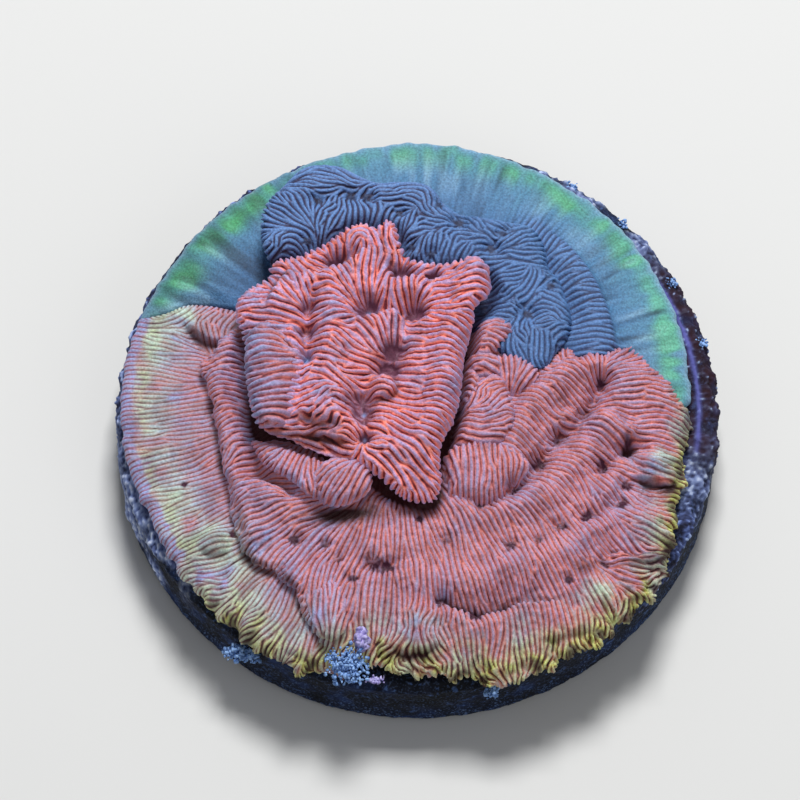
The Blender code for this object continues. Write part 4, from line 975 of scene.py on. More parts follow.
# the grey colony
grey = {
    "area": ((-15.2, -2.2), (15.2, 15.2)), "step": 0.068, "spacing": 0.31, "lift": 0.05, "roll": 0.26,
    "climb": 0.9, "climbReach": 2.5, "hidden": 0.8,
    "crests": [
        ([(6.0, 8.9), (7.1, 7.8), (8.2, 6.0), (8.8, 4.2), (9.0, 2.6)], 1.15, 0.6, 0.6),
    ],
    "ledges": [([(10.0, 2.0), (9.8, 4.0), (9.2, 6.0), (8.4, 7.5), (7.3, 8.7), (5.9, 9.6)], 0.5)],
    "knolls": [(7.0, 3.6, 0.8, 0.6, 0, 0.3)],
    # ridges of the apron fan out from a few centres, as (x, y, first direction, last direction)
    "fans": [(-4.5, 4.0, 115, 175), (0.0, 1.0, 62, 112), (2.0, 2.5, 5, 60)],
    "strokes": [
        [(6.7, 7.7), (7.4, 7.7), (8.1, 7.4)], [(7.0, 6.8), (7.8, 6.9), (8.5, 6.4)],
        [(7.3, 6.0), (8.0, 6.1), (8.9, 5.7)],
        [(7.4, 5.2), (8.3, 5.4), (9.2, 5.1)], [(7.6, 4.5), (8.5, 4.7), (9.5, 4.3)],
        [(7.7, 3.9), (8.6, 4.0), (9.6, 3.6)],
        [(7.8, 3.2), (8.7, 3.2), (9.7, 2.9)], [(7.8, 2.6), (8.7, 2.5), (9.6, 2.4)],
    ],
    "corner": (-8.8, 3.8, 0.9, 0.6, 0, 1.3),    # it dips here, under the crown's left corner
    "band": {
        "outline": [
            (-7.3, 6.8), (-7.7, 7.6), (-7.8, 8.6), (-7.7, 9.6), (-7.3, 10.3), (-6.8, 10.8), (-6.3, 11.4),
            (-5.6, 12.0),
            (-4.6, 12.2), (-3.6, 12.0), (-2.6, 11.5), (-1.9, 11.3), (-1.0, 11.4), (-0.2, 11.4), (0.7, 11.1),
            (1.3, 10.4), (2.0, 9.8), (3.2, 9.6), (4.5, 9.4), (5.6, 9.2), (6.2, 8.6), (6.5, 7.6), (6.6, 6.9),
            (7.1, 6.3),
            (7.4, 5.4), (7.65, 4.6), (7.7, 3.7), (7.4, 3.0), (6.8, 2.2), (6.2, 1.2), (5.5, 1.3), (4.6, 1.9),
            (3.9, 2.6), (3.0, 3.4),
            (1.6, 4.6), (0.0, 5.6), (-3.0, 6.2), (-5.5, 5.8), (-6.6, 6.2),
        ],
        "area": ((-8.6, 1.4), (8.5, 13.0)), "step": 0.05, "spacing": 0.28, "lift": 0.15, "roll": 0.25,
        "high": 7.95, "slope": -0.085, "wander": 0.33, "floor": 5.6,
        "crests": [
            ([(-6.6, 9.8), (-5.0, 10.9), (-3.0, 11.0), (-1.0, 10.7), (0.4, 10.2)], 0.5, 0.25, 0.2),
            ([(4.4, 8.4), (5.2, 8.2), (6.0, 7.8)], 0.5, 0.2, 0.2),
            ([(4.2, 6.0), (4.9, 5.3), (4.9, 4.6)], 0.4, 0.3, 0.2),
            ([(3.4, 4.6), (3.2, 5.5), (3.0, 6.4)], 0.5, -0.4, -0.2),
        ],
        "wild": [(-6.9, 7.7, 0.8, 0.8, 0, 0.4), (-4.7, 9.2, 0.7, 0.8, 0, 0.4), (-1.0, 10.4, 2.0, 0.6, 0, 0.3),
        (4.8, 4.9, 0.9, 0.8, 0, 0.4),
                 (5.4, 2.9, 0.7, 0.8, 0, 0.4), (6.9, 4.0, 0.7, 0.7, 0, 0.3), (0.6, 8.0, 1.2, 0.8, 0, 0.3),
                 (3.6, 8.6, 1.2, 0.6, 0, 0.3)],
        "knolls": [(6.8, 3.8, 0.7, 0.4, 0, 0.2), (5.4, 2.9, 0.4, 0.6, 0, 0.2), (-6.9, 7.7, 0.6, 0.5, 0, 0.15),
                   (-4.7, 9.1, 0.4, 0.4, 0, 0.1), (1.0, 8.0, 0.9, 0.6, 0, 0.15)],
        "pits": [
            (-5.5, 7.9, 0.9), (-5.0, 10.1, 0.8), (-3.3, 10.45, 0.9), (-2.5, 10.4, 0.9), (-0.9, 9.6, 0.7),
            (1.1, 10.2, 0.8),
            (2.1, 9.2, 1.0), (3.7, 7.8, 0.9), (4.3, 8.6, 0.8), (6.7, 5.9, 0.8), (5.5, 4.3, 1.0),
            (0.7, 7.4, 0.8), (-0.3, 7.8, 0.8),
        ],
        "strokes": [
            [(-5.7, 8.1), (-6.5, 8.9), (-7.3, 9.7)], [(-5.5, 8.3), (-6.0, 9.2), (-6.8, 10.1)],
            [(-5.3, 8.4), (-5.5, 9.3), (-6.1, 10.0)],
            [(-5.1, 8.3), (-5.0, 9.2), (-5.3, 9.8)], [(-4.9, 8.7), (-4.4, 9.0), (-4.1, 9.9)],
            [(-5.0, 9.1), (-4.8, 9.4), (-4.6, 9.1)],
            [(-4.2, 8.2), (-3.8, 9.0), (-3.7, 9.9)], [(-3.5, 8.5), (-3.3, 9.2), (-3.2, 10.0)],
            [(-2.5, 9.0), (-2.6, 9.9)],
            [(-2.0, 9.0), (-1.9, 9.9)], [(-1.5, 9.2), (-1.2, 9.9), (-0.5, 9.8)],
            [(-0.8, 8.7), (-0.3, 9.2), (0.0, 9.8)],
            [(-6.4, 11.0), (-5.3, 11.1), (-4.2, 10.9)],
            [(-4.0, 10.7), (-3.0, 10.9), (-2.2, 11.0), (-1.2, 10.8), (-0.2, 10.6), (0.3, 10.0)],
            [(-4.6, 11.8), (-3.5, 11.5), (-2.7, 11.2)], [(-5.8, 11.6), (-5.0, 11.7)],
            [(-1.9, 10.4), (-0.8, 10.2), (0.1, 9.9), (0.3, 9.5)],
            [(0.2, 9.4), (1.0, 9.3), (1.9, 9.3)], [(0.3, 9.0), (1.2, 8.8), (2.0, 8.9)],
            [(0.6, 10.4), (0.9, 9.9), (1.8, 9.7)],
            [(-7.7, 8.7), (-7.0, 8.5), (-6.4, 8.1)],
            [(-7.6, 7.8), (-6.9, 8.1), (-6.3, 7.6), (-6.9, 7.2), (-7.5, 7.3)],
            [(-0.3, 8.2), (0.1, 8.5)], [(0.4, 8.4), (0.1, 7.8), (0.3, 7.2)],
            [(1.0, 8.4), (0.7, 7.9), (0.9, 7.2)],
            [(1.7, 8.0), (1.5, 7.3), (1.3, 6.7)], [(2.6, 7.9), (2.2, 7.3), (2.0, 6.8)],
            [(2.4, 8.3), (3.1, 8.2), (3.6, 7.8)],
            [(3.3, 8.9), (3.8, 8.7), (3.9, 8.2)], [(4.6, 9.1), (4.8, 8.7), (5.5, 8.9)],
            [(4.0, 8.1), (4.8, 8.3), (5.7, 8.8)],
            [(4.1, 7.7), (5.0, 7.8), (6.0, 8.1)], [(4.2, 7.4), (5.1, 7.4), (6.2, 7.4)],
            [(4.9, 7.0), (5.6, 7.1), (6.4, 7.0)],
            [(3.8, 6.3), (4.3, 6.7), (4.5, 7.1)], [(3.8, 5.9), (4.6, 6.3), (5.2, 6.7)],
            [(3.7, 5.6), (4.5, 5.9), (5.1, 6.2)],
            [(3.4, 5.3), (4.3, 5.3), (4.9, 5.6)], [(3.3, 4.9), (4.2, 4.9), (4.8, 5.1), (4.9, 4.6), (4.4, 4.6)],
            [(3.3, 4.4), (4.0, 4.4), (4.7, 4.2)], [(5.2, 5.5), (5.6, 6.2), (5.6, 6.8)],
            [(5.9, 5.2), (6.1, 6.0), (6.0, 6.6)],
            [(5.2, 3.9), (5.0, 3.1), (5.2, 2.5), (5.6, 2.5), (5.8, 3.1), (5.6, 3.9)], [(5.4, 3.6), (5.4, 3.0)],
            [(6.0, 3.9), (6.8, 4.2), (7.4, 3.8), (6.8, 3.5), (6.1, 3.6)], [(5.9, 4.3), (6.7, 4.7), (7.5, 4.3)],
            [(6.2, 5.4), (6.9, 5.4), (7.4, 5.0)], [(6.3, 3.1), (6.3, 2.5)], [(4.8, 3.6), (4.5, 3.0)],
        ],
    },
}


def paintGrey(g, ridge, pits, bold):
    # where the grey tissue turns green, pale or lined, how strongly it is ridged, and where painted shade
    # darkens its left side
    far, turn = rimShare(g)
    smear = noiseField(g, 1.4, 23)
    streak = streakField(g, 1.5, 0.36, 24)
    strength = 0.3 + 0.6 * facing(turn, 158, 2.2, 1.1)
    strength += 0.4 * facing(turn, 28, 2.2, 1.0) + 0.1 * facing(turn, 92, 3, 2.2)
    green = bell(far - 0.85 - 0.15 * smear, 0.7 + 0.15 * streak) * (strength + 0.15 * smear + 0.3 * streak)
    pale = bell(far, 0.22) + np.clip(0.15 + 0.35 * streak, 0, 1) * bell(far - 2.0, 1.4)
    away = lineFields(g, smoothCurve(growth["seamLeft"]))[0]
    line = streakField(g, 2.6, 0.34, 36) + 0.5 * streakField(g, 1.2, 0.22, 37)
    # painted shade: the apron's streaks are made darker towards its left side
    paintedLeftShade = 0.3 * smoothStep((-2 - g["x"]) / 6)
    # a bright yellow-green strip along the right-hand rim
    glow = smoothStep((48 - turn) / 16) * (0.75 + 0.25 * streak) + (turn < 62) * 0.35 * streak
    return {
        "ridge": ridge, "pit": pits, "bold": bold, "far": (far + 0.35 * streak) / 6,
        "green": np.clip(green, 0, 1),
        "pale": np.clip(np.clip(pale, 0, 1) + 0.8 * bell(away, 0.45) * (g["x"] < -10.4), 0, 1),
        "streaksAndShade": np.clip(0.72 + 0.27 * line * smoothStep(far / 0.9) - paintedLeftShade, 0, 1),
        "glow": np.clip(bell(far - 0.75, 0.45) * glow, 0, 1),
    }


def greyApron():
    # the thin plate that runs out to the green rim
    g = makeGrid(*grey["area"], grey["step"])
    inner = np.array(growth["seamLeft"][::-1] + growth["seam"][::-1])
    inner[:, 1] -= 1.2       # it runs on under the red colony
    inner[-1] = (12.7, -0.8)
    inside = insideBy(g, np.vstack([rimArc(1.5, 161.5, 220), smoothCurve(inner)]))
    inward = rimShare(g)[0]
    underShelf = smoothStep(insideBy(g, shelfLoop(110, (0, 0))) / 0.3)
    under = smoothStep(insideBy(g, frontLoop(110)) / 0.5)
    away = lineFields(g, smoothCurve(growth["seamLeft"]))[0]
    fold = relief(g, grey)
    height = plateTop(inward, grey["climb"], grey["climbReach"]) + fold
    sunk = 0.04 * noiseField(g, 1.3,
        27) - under * (0.25 + fold) - 0.9 * underShelf    # it dips under the red plates
    height += sunk - knoll(g, *grey["corner"]) - 0.2 * bell(away, 0.4)
    strokes = [[(x + r * math.cos(a), y + r * math.sin(a)) for r in (3, 9)]
               for x, y, start, stop in grey["fans"] for a in np.radians(np.linspace(start, stop, 7))]
    flow = flowField(g, strokes + grey["strokes"], (), 0.4, inside, stray=0.1, seed=6)
    ridge = ridgeField(g, flow, grey["spacing"], 71)
    soft = np.clip(fold / 0.4, 0, 1)
    lifted = grey["lift"] * (ridge - 0.5) * (0.06 + 3.1 * soft) * (0.8 + 0.3 * noiseField(g, 0.8, 26))
    lifted += 0.035 * streakField(g, 3.0, 0.6, 25) * bell(inward - 1.2, 1.2)
    looks = paintGrey(g, ridge, 0 * ridge, 0.75 * soft)
    height = blur(height, 0.06, g["step"])
    hidden = insideLoop(g, crown["outline"]) > grey["hidden"]
    return makeSkin(g, inside, height, lifted, grey["roll"], skirtFoot, looks, hidden, pull=0.45)


def greyBand():
    # the raised band of deep ridges behind the crown
    band = grey["band"]
    g = makeGrid(*band["area"], band["step"])
    inside = insideLoop(g, band["outline"])
    depth = np.clip(inside, 0, 1.0)
    height = band["high"] + band["slope"] * (g["x"] + 7.5) - 0.35 * domed(depth)
    height += relief(g, band) * depth + 0.05 * noiseField(g, 1.0, 28)
    beside = bell(besideCrown(g), 0.45)
    height -= 0.25 * pitField(g, band["pits"], 0.45) + 0.7 * beside
    # painted shade: beside the crown the band takes the near-black colour of its mouths
    pits = np.maximum(pitField(g, band["pits"], 0.22), 0.9 * beside)
    stray = band["wander"] + spots(g, band["wild"])
    flow = flowField(g, band["strokes"], band["pits"], 0.3, None, stray, seed=7)
    ridge = ridgeField(g, flow, band["spacing"], 73)
    calm = 0.6 + 0.4 * smoothStep((8 - g["x"]) / 10 + 0.2)
    bold = 1 - 0.3 * smoothStep((g["x"] + 1) / 4) - 0.2 * bell(np.clip(inside, 0, 9), 0.5) * (g["x"] > 1)
    flat = 1 - (1 - ridge) ** 2.6    # broad flat tops and narrow grooves
    lifted = band["lift"] * calm * (flat - 0.75) * (1 - 0.5 * pits) * (1 + 0.9 * bell(inside, 0.3))
    looks = paintGrey(g, ridge, pits, bold)
    height = blur(height, 0.05, g["step"])
    hidden = insideLoop(g, crown["outline"]) > grey["hidden"]
    return makeSkin(g, inside, height, lifted, band["roll"], band["floor"], looks, hidden, pull=0.25)


# the frag disc and the crust on it
plug = {
    "around": 1100, "down": 0.075,    # points round the side, and millimetres between them down it
    "crustThick": 0.13, "grain": 0.14, "lump": 0.6, "broad": 2.2,
    # where coralline crust has grown, as (middle in degrees, half width)
    "crustArcs": [(15, 62), (185, 39), (120, 26)],
    # where it is chalky, as (middle, half width, how much), and where a brown film covers it
    "chalkLeft": (208, 26), "chalkMore": [(347, 6, 0.6), (48, 15, 0.75)], "brownArc": (12, 30),
    # a smooth violet line of new crust close beside the coral's right-hand rim
    "thread": {"radius": 14.12, "width": 0.13, "half": 24, "high": 0.12},
    # stations down the side, as (radius, height) in parts of the disc, with steps between them
    "profile": [
        ((0.88, 1.0), 16), ((0.973, 1.0), 7), ((1.0, 0.9), 20), ((1.0, 0.5), 12), ((1.0, 0.1), 4),
        ((0.973, 0.0), 3),
        ((0.5, 0.0), 2), ((0.02, 0.0), 1),
    ],
}


def apart(degrees, middle):
    # angle from the middle, either way round
    return np.abs((degrees - middle + 180) % 360 - 180)


def wrapNoise(shape, steps, size, seed):
    # seeded noise that joins up all round the disc
    raw = np.random.default_rng(seed).standard_normal(shape)
    fx, fy = np.meshgrid(np.fft.rfftfreq(shape[1], steps[1]), np.fft.fftfreq(shape[0], steps[0]))
    soft = np.fft.irfft2(np.fft.rfft2(raw) * np.exp(-2 * (math.pi * size / 2.5) ** 2 * (fx ** 2 + fy ** 2)),
        s=shape)
    return soft / soft.std()


def discPart():
    stations = []
    for ((r0, z0), count), ((r1, z1), _) in zip(plug["profile"], plug["profile"][1:]):
        for k in range(count):
            stations.append((r0 + (r1 - r0) * k / count, z0 + (z1 - z0) * k / count))
    stations.append(plug["profile"][-1][0])
    radius, height = np.array(stations).T
    radius, height = radius * discRadius, height * discTop
    around = plug["around"]
    turn = np.arange(around) / around * 2 * math.pi
    shape = (around, len(radius))
    steps = (2 * math.pi * discRadius / around, plug["down"])
    grains = wrapNoise(shape, steps, plug["grain"], 31)
    lumps = wrapNoise(shape, steps, plug["lump"], 32)
    broad = wrapNoise(shape, steps, plug["broad"], 33)
    degrees = np.degrees(turn)[:, None]
    grown = np.zeros(shape)
    for middle, half in plug["crustArcs"]:
        grown = np.maximum(grown, smoothStep((half - apart(degrees, middle)) / 14))
    down = (discTop - height)[None, :]
    middle, half = plug["chalkLeft"]
    chalk = bell(degrees - middle, half)
    grown = grown * smoothStep((2.0 + 0.9 * broad + 0.9 * chalk - down) / 0.7)
    rough = 0.45 + 0.2 * grains + 0.3 * lumps
    lifted = grown * plug["crustThick"] * np.clip(rough, 0, 1.3) + 0.02 * lumps + 0.012 * grains
    lifted *= np.clip((height[None, :] / discTop) * 8, 0, 1)
    out = np.gradient(height), -np.gradient(radius)
    size = np.hypot(*out) + 1e-9
    across, up = -out[0] / size, -out[1] / size
    r = radius[None, :] + lifted * across[None, :]
    z = height[None, :] + lifted * up[None, :]
    points = np.stack([r * np.cos(turn)[:, None], r * np.sin(turn)[:, None], z], -1)
    number = np.arange(points.shape[0] * points.shape[1]).reshape(shape)
    after = np.roll(number, -1, axis=0)
    quads = np.stack([number[:, :-1], number[:, 1:], after[:, 1:], after[:, :-1]], -1).reshape(-1, 4)
    edge = np.clip(grown * (0.75 + 0.25 * lumps), 0, 1)
    east, half = plug["brownArc"]
    fromEast = apart(degrees, east)
    brown = smoothStep(1.1 + 0.5 * broad) * smoothStep((half - fromEast) / 14)
    brown = brown * (1 - smoothStep((grains - 1.8) / 0.5))
    for middle, half, much in plug["chalkMore"]:
        chalk = chalk + much * bell(degrees - middle, half)
    line = plug["thread"]
    thread = bell(radius[None, :] - line["radius"], line["width"])
    thread = thread * smoothStep((line["half"] - fromEast) / 8) * (down < 0.3)
    points[..., 2] += line["high"] * thread
    looks = {
        "crust": np.maximum(edge, thread), "grains": np.clip(0.5 + 0.25 * grains, 0, 1),
        "brown": brown * (1 - thread), "chalk": chalk + 0 * edge, "thread": thread,
        "foot": bell(height[None, :], 1.5) * np.clip(0.6 + 0.4 * lumps, 0, 1),
    }
    return points.reshape(-1, 3), quads, {name: field.ravel() for name, field in looks.items()}


# loose heaps of crust: middle, spread, how many crumbs, least and greatest size, seed and colour
crumbHeaps = {
    "blueTuft": ((-3.5, -14.0, 5.05), (0.95, 0.9, 0.55), 620, (0.05, 0.1), 41, "blue"),
    "violetBump": ((-2.75, -12.9, 5.55), (0.3, 0.42, 0.3), 70, (0.13, 0.24), 42, "violet"),
    "pinkCurl": ((-2.1, -14.5, 4.2), (0.4, 0.2, 0.15), 50, (0.05, 0.09), 43, "violet"),
    "blueFlake": ((-8.6, -12.6, 3.15), (0.95, 0.42, 0.3), 300, (0.06, 0.12), 44, "blue"),
    "smallTuft": ((3.7, -14.85, 3.5), (0.3, 0.25, 0.45), 110, (0.04, 0.09), 45, "blue"),
}
for n, (x, y) in enumerate([(7.9, 12.6), (10.4, 10.5), (12.9, 7.2), (14.3, 3.9)]):
    crumbHeaps["rimTuft" + str(n)] = ((x, y, 3.95), (0.25, 0.25, 0.16), 40, (0.04, 0.09), 46 + n, "blue")


def grainHeap(name, centre, reach, count, grain, seed, material):
    # a heap of little rough crumbs, most of them near the middle
    rng = np.random.default_rng(seed)
    bm = bmesh.new()
    for _ in range(count):
        at = np.array(centre) + np.clip(rng.normal(0, 0.5, 3), -1.1, 1.1) * reach
        size = rng.uniform(*grain)
        made = bmesh.ops.create_icosphere(bm, subdivisions=1, radius=size * mm)["verts"]
        squeeze = rng.uniform(0.6, 1.4, 3)
        for v in made:
            v.co = Vector(at * mm) + Vector([v.co[i] * squeeze[i] for i in range(3)]) * rng.uniform(0.7, 1.3)
    mesh = bpy.data.meshes.new(name)
    bm.to_mesh(mesh)
    bm.free()
    mesh.shade_smooth()
    mesh.materials.append(material)
    piece = bpy.data.objects.new(name, mesh)
    bpy.context.scene.collection.objects.link(piece)
    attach(piece, "root")


# materials
mixing = {"out": 2, "data_type": "RGBA", "blend_type": "MIX"}
shading = {"out": 2, "data_type": "RGBA", "blend_type": "MULTIPLY"}
times = {"operation": "MULTIPLY", "use_clamp": True}


def newMaterial(name):
    material = bpy.data.materials.new(name)
    material.use_nodes = True
    tree = material.node_tree
    return material, tree, tree.nodes["Principled BSDF"]


def feed(tree, node, inputs):
    # an input is linked where it is given a socket, and is otherwise set to the value
    for name, value in inputs.items():
        if isinstance(value, bpy.types.NodeSocket):
            tree.links.new(value, node.inputs[name])
        else:
            node.inputs[name].default_value = value


def addNode(tree, kind, inputs, out=0, stops=(), **settings):
    # one node with its settings, its links and, on a ramp, its colour stops; gives one of its outputs
    node = tree.nodes.new("ShaderNode" + kind)
    for name, value in settings.items():
        setattr(node, name, value)
    feed(tree, node, inputs)
    if stops:
        elements = node.color_ramp.elements
        elements.remove(elements[-1])
        elements[0].position, elements[0].color = stops[0][0], hexToLinear(stops[0][1])
        for place, code in stops[1:]:
            elements.new(place).color = hexToLinear(code)
    return node.outputs[out]


def fieldsOf(tree, *names):
    # where the skin's points say how much of each thing there is, and the place in the object for noise
    fields = {name: addNode(tree, "Attribute", {}, "Fac", attribute_name=name) for name in names}
    return fields, addNode(tree, "TexCoord", {}, "Object")


def pattern(place, size, detail=3):
    # inputs of a noise whose blotches are size millimetres wide
    return {"Vector": place, "Scale": 1 / (size * mm), "Detail": detail}


def tissueSurface(tree, shader, place, colour):
    # thin living tissue over stone: 0.05 mm granules under a wet film, so soft small highlights
    grain = addNode(tree, "TexNoise", pattern(place, 0.05, 2))
    bead = addNode(tree, "TexNoise", pattern(place, 0.11, 1))
    shade = addNode(tree, "ValToRGB", {"Fac": bead}, stops=[(0.3, "#a4a4a4"), (0.66, "#ffffff")])
    halfGrain = addNode(tree, "Math", {0: grain, 1: 0.5}, **times)
    halfBead = addNode(tree, "Math", {0: bead, 1: 0.5}, **times)
    rough = addNode(tree, "Math", {0: halfGrain, 1: halfBead}, operation="ADD", use_clamp=True)
    feed(tree, shader, {
        "Base Color": addNode(tree, "Mix", {0: 0.6, 6: colour, 7: shade}, **shading),
        "Normal": addNode(tree, "Bump", {"Height": rough, "Strength": 0.9, "Distance": 0.06 * mm}),
        "Roughness": 0.55, "IOR": 1.36,
        "Subsurface Weight": 0.08, "Subsurface Radius": (1.0, 0.4, 0.3), "Subsurface Scale": 0.2 * mm,
    })


# colours of the red tissue from the bottom of a groove to the top of a ridge; the darkest stops, at the groove
# bottom, are partly painted groove shadow
redRidges = {
    "bright": [(0.05, "#441820"), (0.13, "#842f32"), (0.2, "#da6456"), (0.3, "#f68c7a"), (0.43, "#ee948c"),
               (0.58, "#da94a4"), (0.76, "#c898b8"), (0.92, "#b69acc")],
    "quiet": [(0.05, "#54202a"), (0.13, "#964a50"), (0.21, "#de7466"), (0.32, "#f28c82"), (0.46, "#ea9498"),
              (0.64, "#dc98aa"), (0.9, "#c29ac2")],
    "worn": [(0.06, "#563438"), (0.16, "#926062"), (0.3, "#b68284"), (0.55, "#b4929c"), (0.95, "#acaabe")],
    "cream": [(0.06, "#544a44"), (0.18, "#a8a492"), (0.4, "#c0d2b6"), (0.95, "#daeeda")],
    "gold": [(0.07, "#1a0f0c"), (0.22, "#6c502a"), (0.46, "#b8b056"), (0.95, "#dae28a")],
    "blue": [(0.06, "#4c2c3c"), (0.2, "#ac7690"), (0.44, "#a89cca"), (0.95, "#a2b2e0")],
    # the last colour below is the painted shade of recesses and crevices
    "gullet": [(0.0, "#482034"), (1.0, "#6e4256")], "mouth": "#8ea6dc", "shadeColour": "#2c1214",
    "glow": 0.21,    # painted glow: the tissue gives off a little light of its own colour, like its fluorescence, which keeps its shadows warm
}


def redTissue():
    # orange-red tissue with a painted fluorescent glow: lilac ridge tops, orange flanks, maroon grooves
    # deepened by painted groove shadow
    material, tree, shader = newMaterial("redCoralTissue")
    on, place = fieldsOf(tree, "ridge", "vivid", "worn", "cream", "gold", "blue", "pit", "dot", "paintedShade")
    vivid = on["vivid"]    # 1 on the crown, whose tissue is brighter
    uneven = addNode(tree, "TexNoise", pattern(place, 0.4))
    uneven = addNode(tree, "Math", {0: uneven, 1: 0.24, 2: -0.12}, operation="MULTIPLY_ADD")
    ridge = addNode(tree, "Math", {0: on["ridge"], 1: uneven}, operation="ADD", use_clamp=True)
    tints = {name: addNode(tree, "ValToRGB", {"Fac": ridge}, stops=redRidges[name])
             for name in ("bright", "quiet", "worn", "cream", "gold", "blue")}
    colour = addNode(tree, "Mix", {0: vivid, 6: tints["quiet"], 7: tints["bright"]}, **mixing)
    patchy = addNode(tree, "TexNoise", pattern(place, 0.8))
    patchy = addNode(tree, "Math", {0: patchy, 1: 1.6, 2: 0.1}, operation="MULTIPLY_ADD")
    for name in ("worn", "cream", "gold", "blue"):
        share = addNode(tree, "Math", {0: on[name], 1: patchy}, **times)
        colour = addNode(tree, "Mix", {0: share, 6: colour, 7: tints[name]}, **mixing)
    mouth = addNode(tree, "Math", {0: on["pit"], 1: 1.05}, **times)
    gullet = addNode(tree, "ValToRGB", {"Fac": vivid}, stops=redRidges["gullet"])
    colour = addNode(tree, "Mix", {0: mouth, 6: colour, 7: gullet}, **mixing)
    colour = addNode(tree, "Mix", {0: on["dot"], 6: colour, 7: hexToLinear(redRidges["mouth"])}, **mixing)
    blotch = addNode(tree, "TexNoise", pattern(place, 1.1, 4))
    blotch = addNode(tree, "ValToRGB", {"Fac": blotch},
        stops=[(0.34, "#b8b0b4"), (0.5, "#f0eef0"), (0.64, "#ffffff")])
    colour = addNode(tree, "Mix", {0: 0.55, 6: colour, 7: blotch}, **shading)
    dull = addNode(tree, "ValToRGB", {"Fac": vivid}, stops=[(0.0, "#ecf0f2"), (1.0, "#ffffff")])
    colour = addNode(tree, "Mix", {0: 1.0, 6: colour, 7: dull}, **shading)
    # painted shade: darkened towards the shade colour in crevices, recesses and at the feet of ledges
    colour = addNode(tree, "Mix", {0: on["paintedShade"], 6: colour, 7: hexToLinear(redRidges["shadeColour"])}, **mixing)
    # painted glow: emission in the tissue's own colour, a little weaker on the plates than on the crown
    lit = addNode(tree, "ValToRGB", {"Fac": vivid}, stops=[(0.0, "#e8e8e8"), (1.0, "#ffffff")])
    glow = addNode(tree, "Mix", {0: 1.0, 6: colour, 7: lit}, **shading)
    feed(tree, shader, {"Emission Color": glow, "Emission Strength": redRidges["glow"]})
    tissueSurface(tree, shader, place, colour)
    return material


# colours of the grey tissue: the band from groove to ridge, and the apron from its rim inwards
greyCover = {
    "band": [(0.0, "#1e1a30"), (0.16, "#3c3858"), (0.3, "#55648e"), (0.5, "#6484ba"), (1.0, "#6e96d2")],
    "apron": [(0.0, "#6c9cc0"), (0.15, "#5c92b0"), (0.35, "#5688b0"), (0.6, "#4d7cac"), (1.0, "#4772a8")],
    # tints on the apron as (how much of them shows, colour)
    "tints": {"green": (0.85, "#4fae62"), "glow": (0.7, "#72cca8"), "pale": (0.6, "#9cc4e0")},
    "ribs": [(0.0, "#b0b0b0"), (0.5, "#f0f0f0"), (1.0, "#ffffff")],
    # streaks on the apron; their dark end also carries the painted shade of its left side
    "streaksAndShade": [(0.0, "#5e6670"), (0.45, "#d4d8dc"), (0.7, "#ffffff")],
    # near-black of the mouths, also laid on as painted shade beside the crown
    "mouth": "#241c34",
}


def greyTissue():
    # blue-grey tissue, near-black grooves on the raised band, teal to green on the apron
    material, tree, shader = newMaterial("greyCoralTissue")
    on, place = fieldsOf(tree, "ridge", "far", "green", "glow", "pale", "streaksAndShade", "bold", "pit")
    band = addNode(tree, "ValToRGB", {"Fac": on["ridge"]}, stops=greyCover["band"])
    apron = addNode(tree, "ValToRGB", {"Fac": on["far"]}, stops=greyCover["apron"])
    for name, (amount, code) in greyCover["tints"].items():
        share = addNode(tree, "Math", {0: on[name], 1: amount}, **times)
        apron = addNode(tree, "Mix", {0: share, 6: apron, 7: hexToLinear(code)}, **mixing)
    for name, amount, source in (("ribs", 0.25, "ridge"), ("streaksAndShade", 0.75, "streaksAndShade")):
        shade = addNode(tree, "ValToRGB", {"Fac": on[source]}, stops=greyCover[name])
        apron = addNode(tree, "Mix", {0: amount, 6: apron, 7: shade}, **shading)
    colour = addNode(tree, "Mix", {0: on["bold"], 6: apron, 7: band}, **mixing)
    # mouths, and painted shade beside the crown, in near-black
    mouth = addNode(tree, "Math", {0: on["pit"], 1: 0.8}, **times)
    colour = addNode(tree, "Mix", {0: mouth, 6: colour, 7: hexToLinear(greyCover["mouth"])}, **mixing)
    tissueSurface(tree, shader, place, colour)
    return material


discCover = {
    "bare": [(0.35, "#02050d"), (0.52, "#070d1e"), (0.7, "#1a2e58")], "speck": "#3f5a8c", "foot": "#152a52",
    "dust": "#7c9ad0", "brown": "#2c131a", "thread": "#5c5ea4",
    # crust from its hollows to the tops of its grains, and the paler crust where it is chalky
    "crust": [(0.22, "#15162a"), (0.5, "#323a60"), (0.74, "#5668a0"), (0.92, "#a8bce8")],
    "chalk": [(0.1, "#384066"), (0.4, "#6e7eb2"), (0.65, "#9caedc"), (0.9, "#d8e2fa")],
}


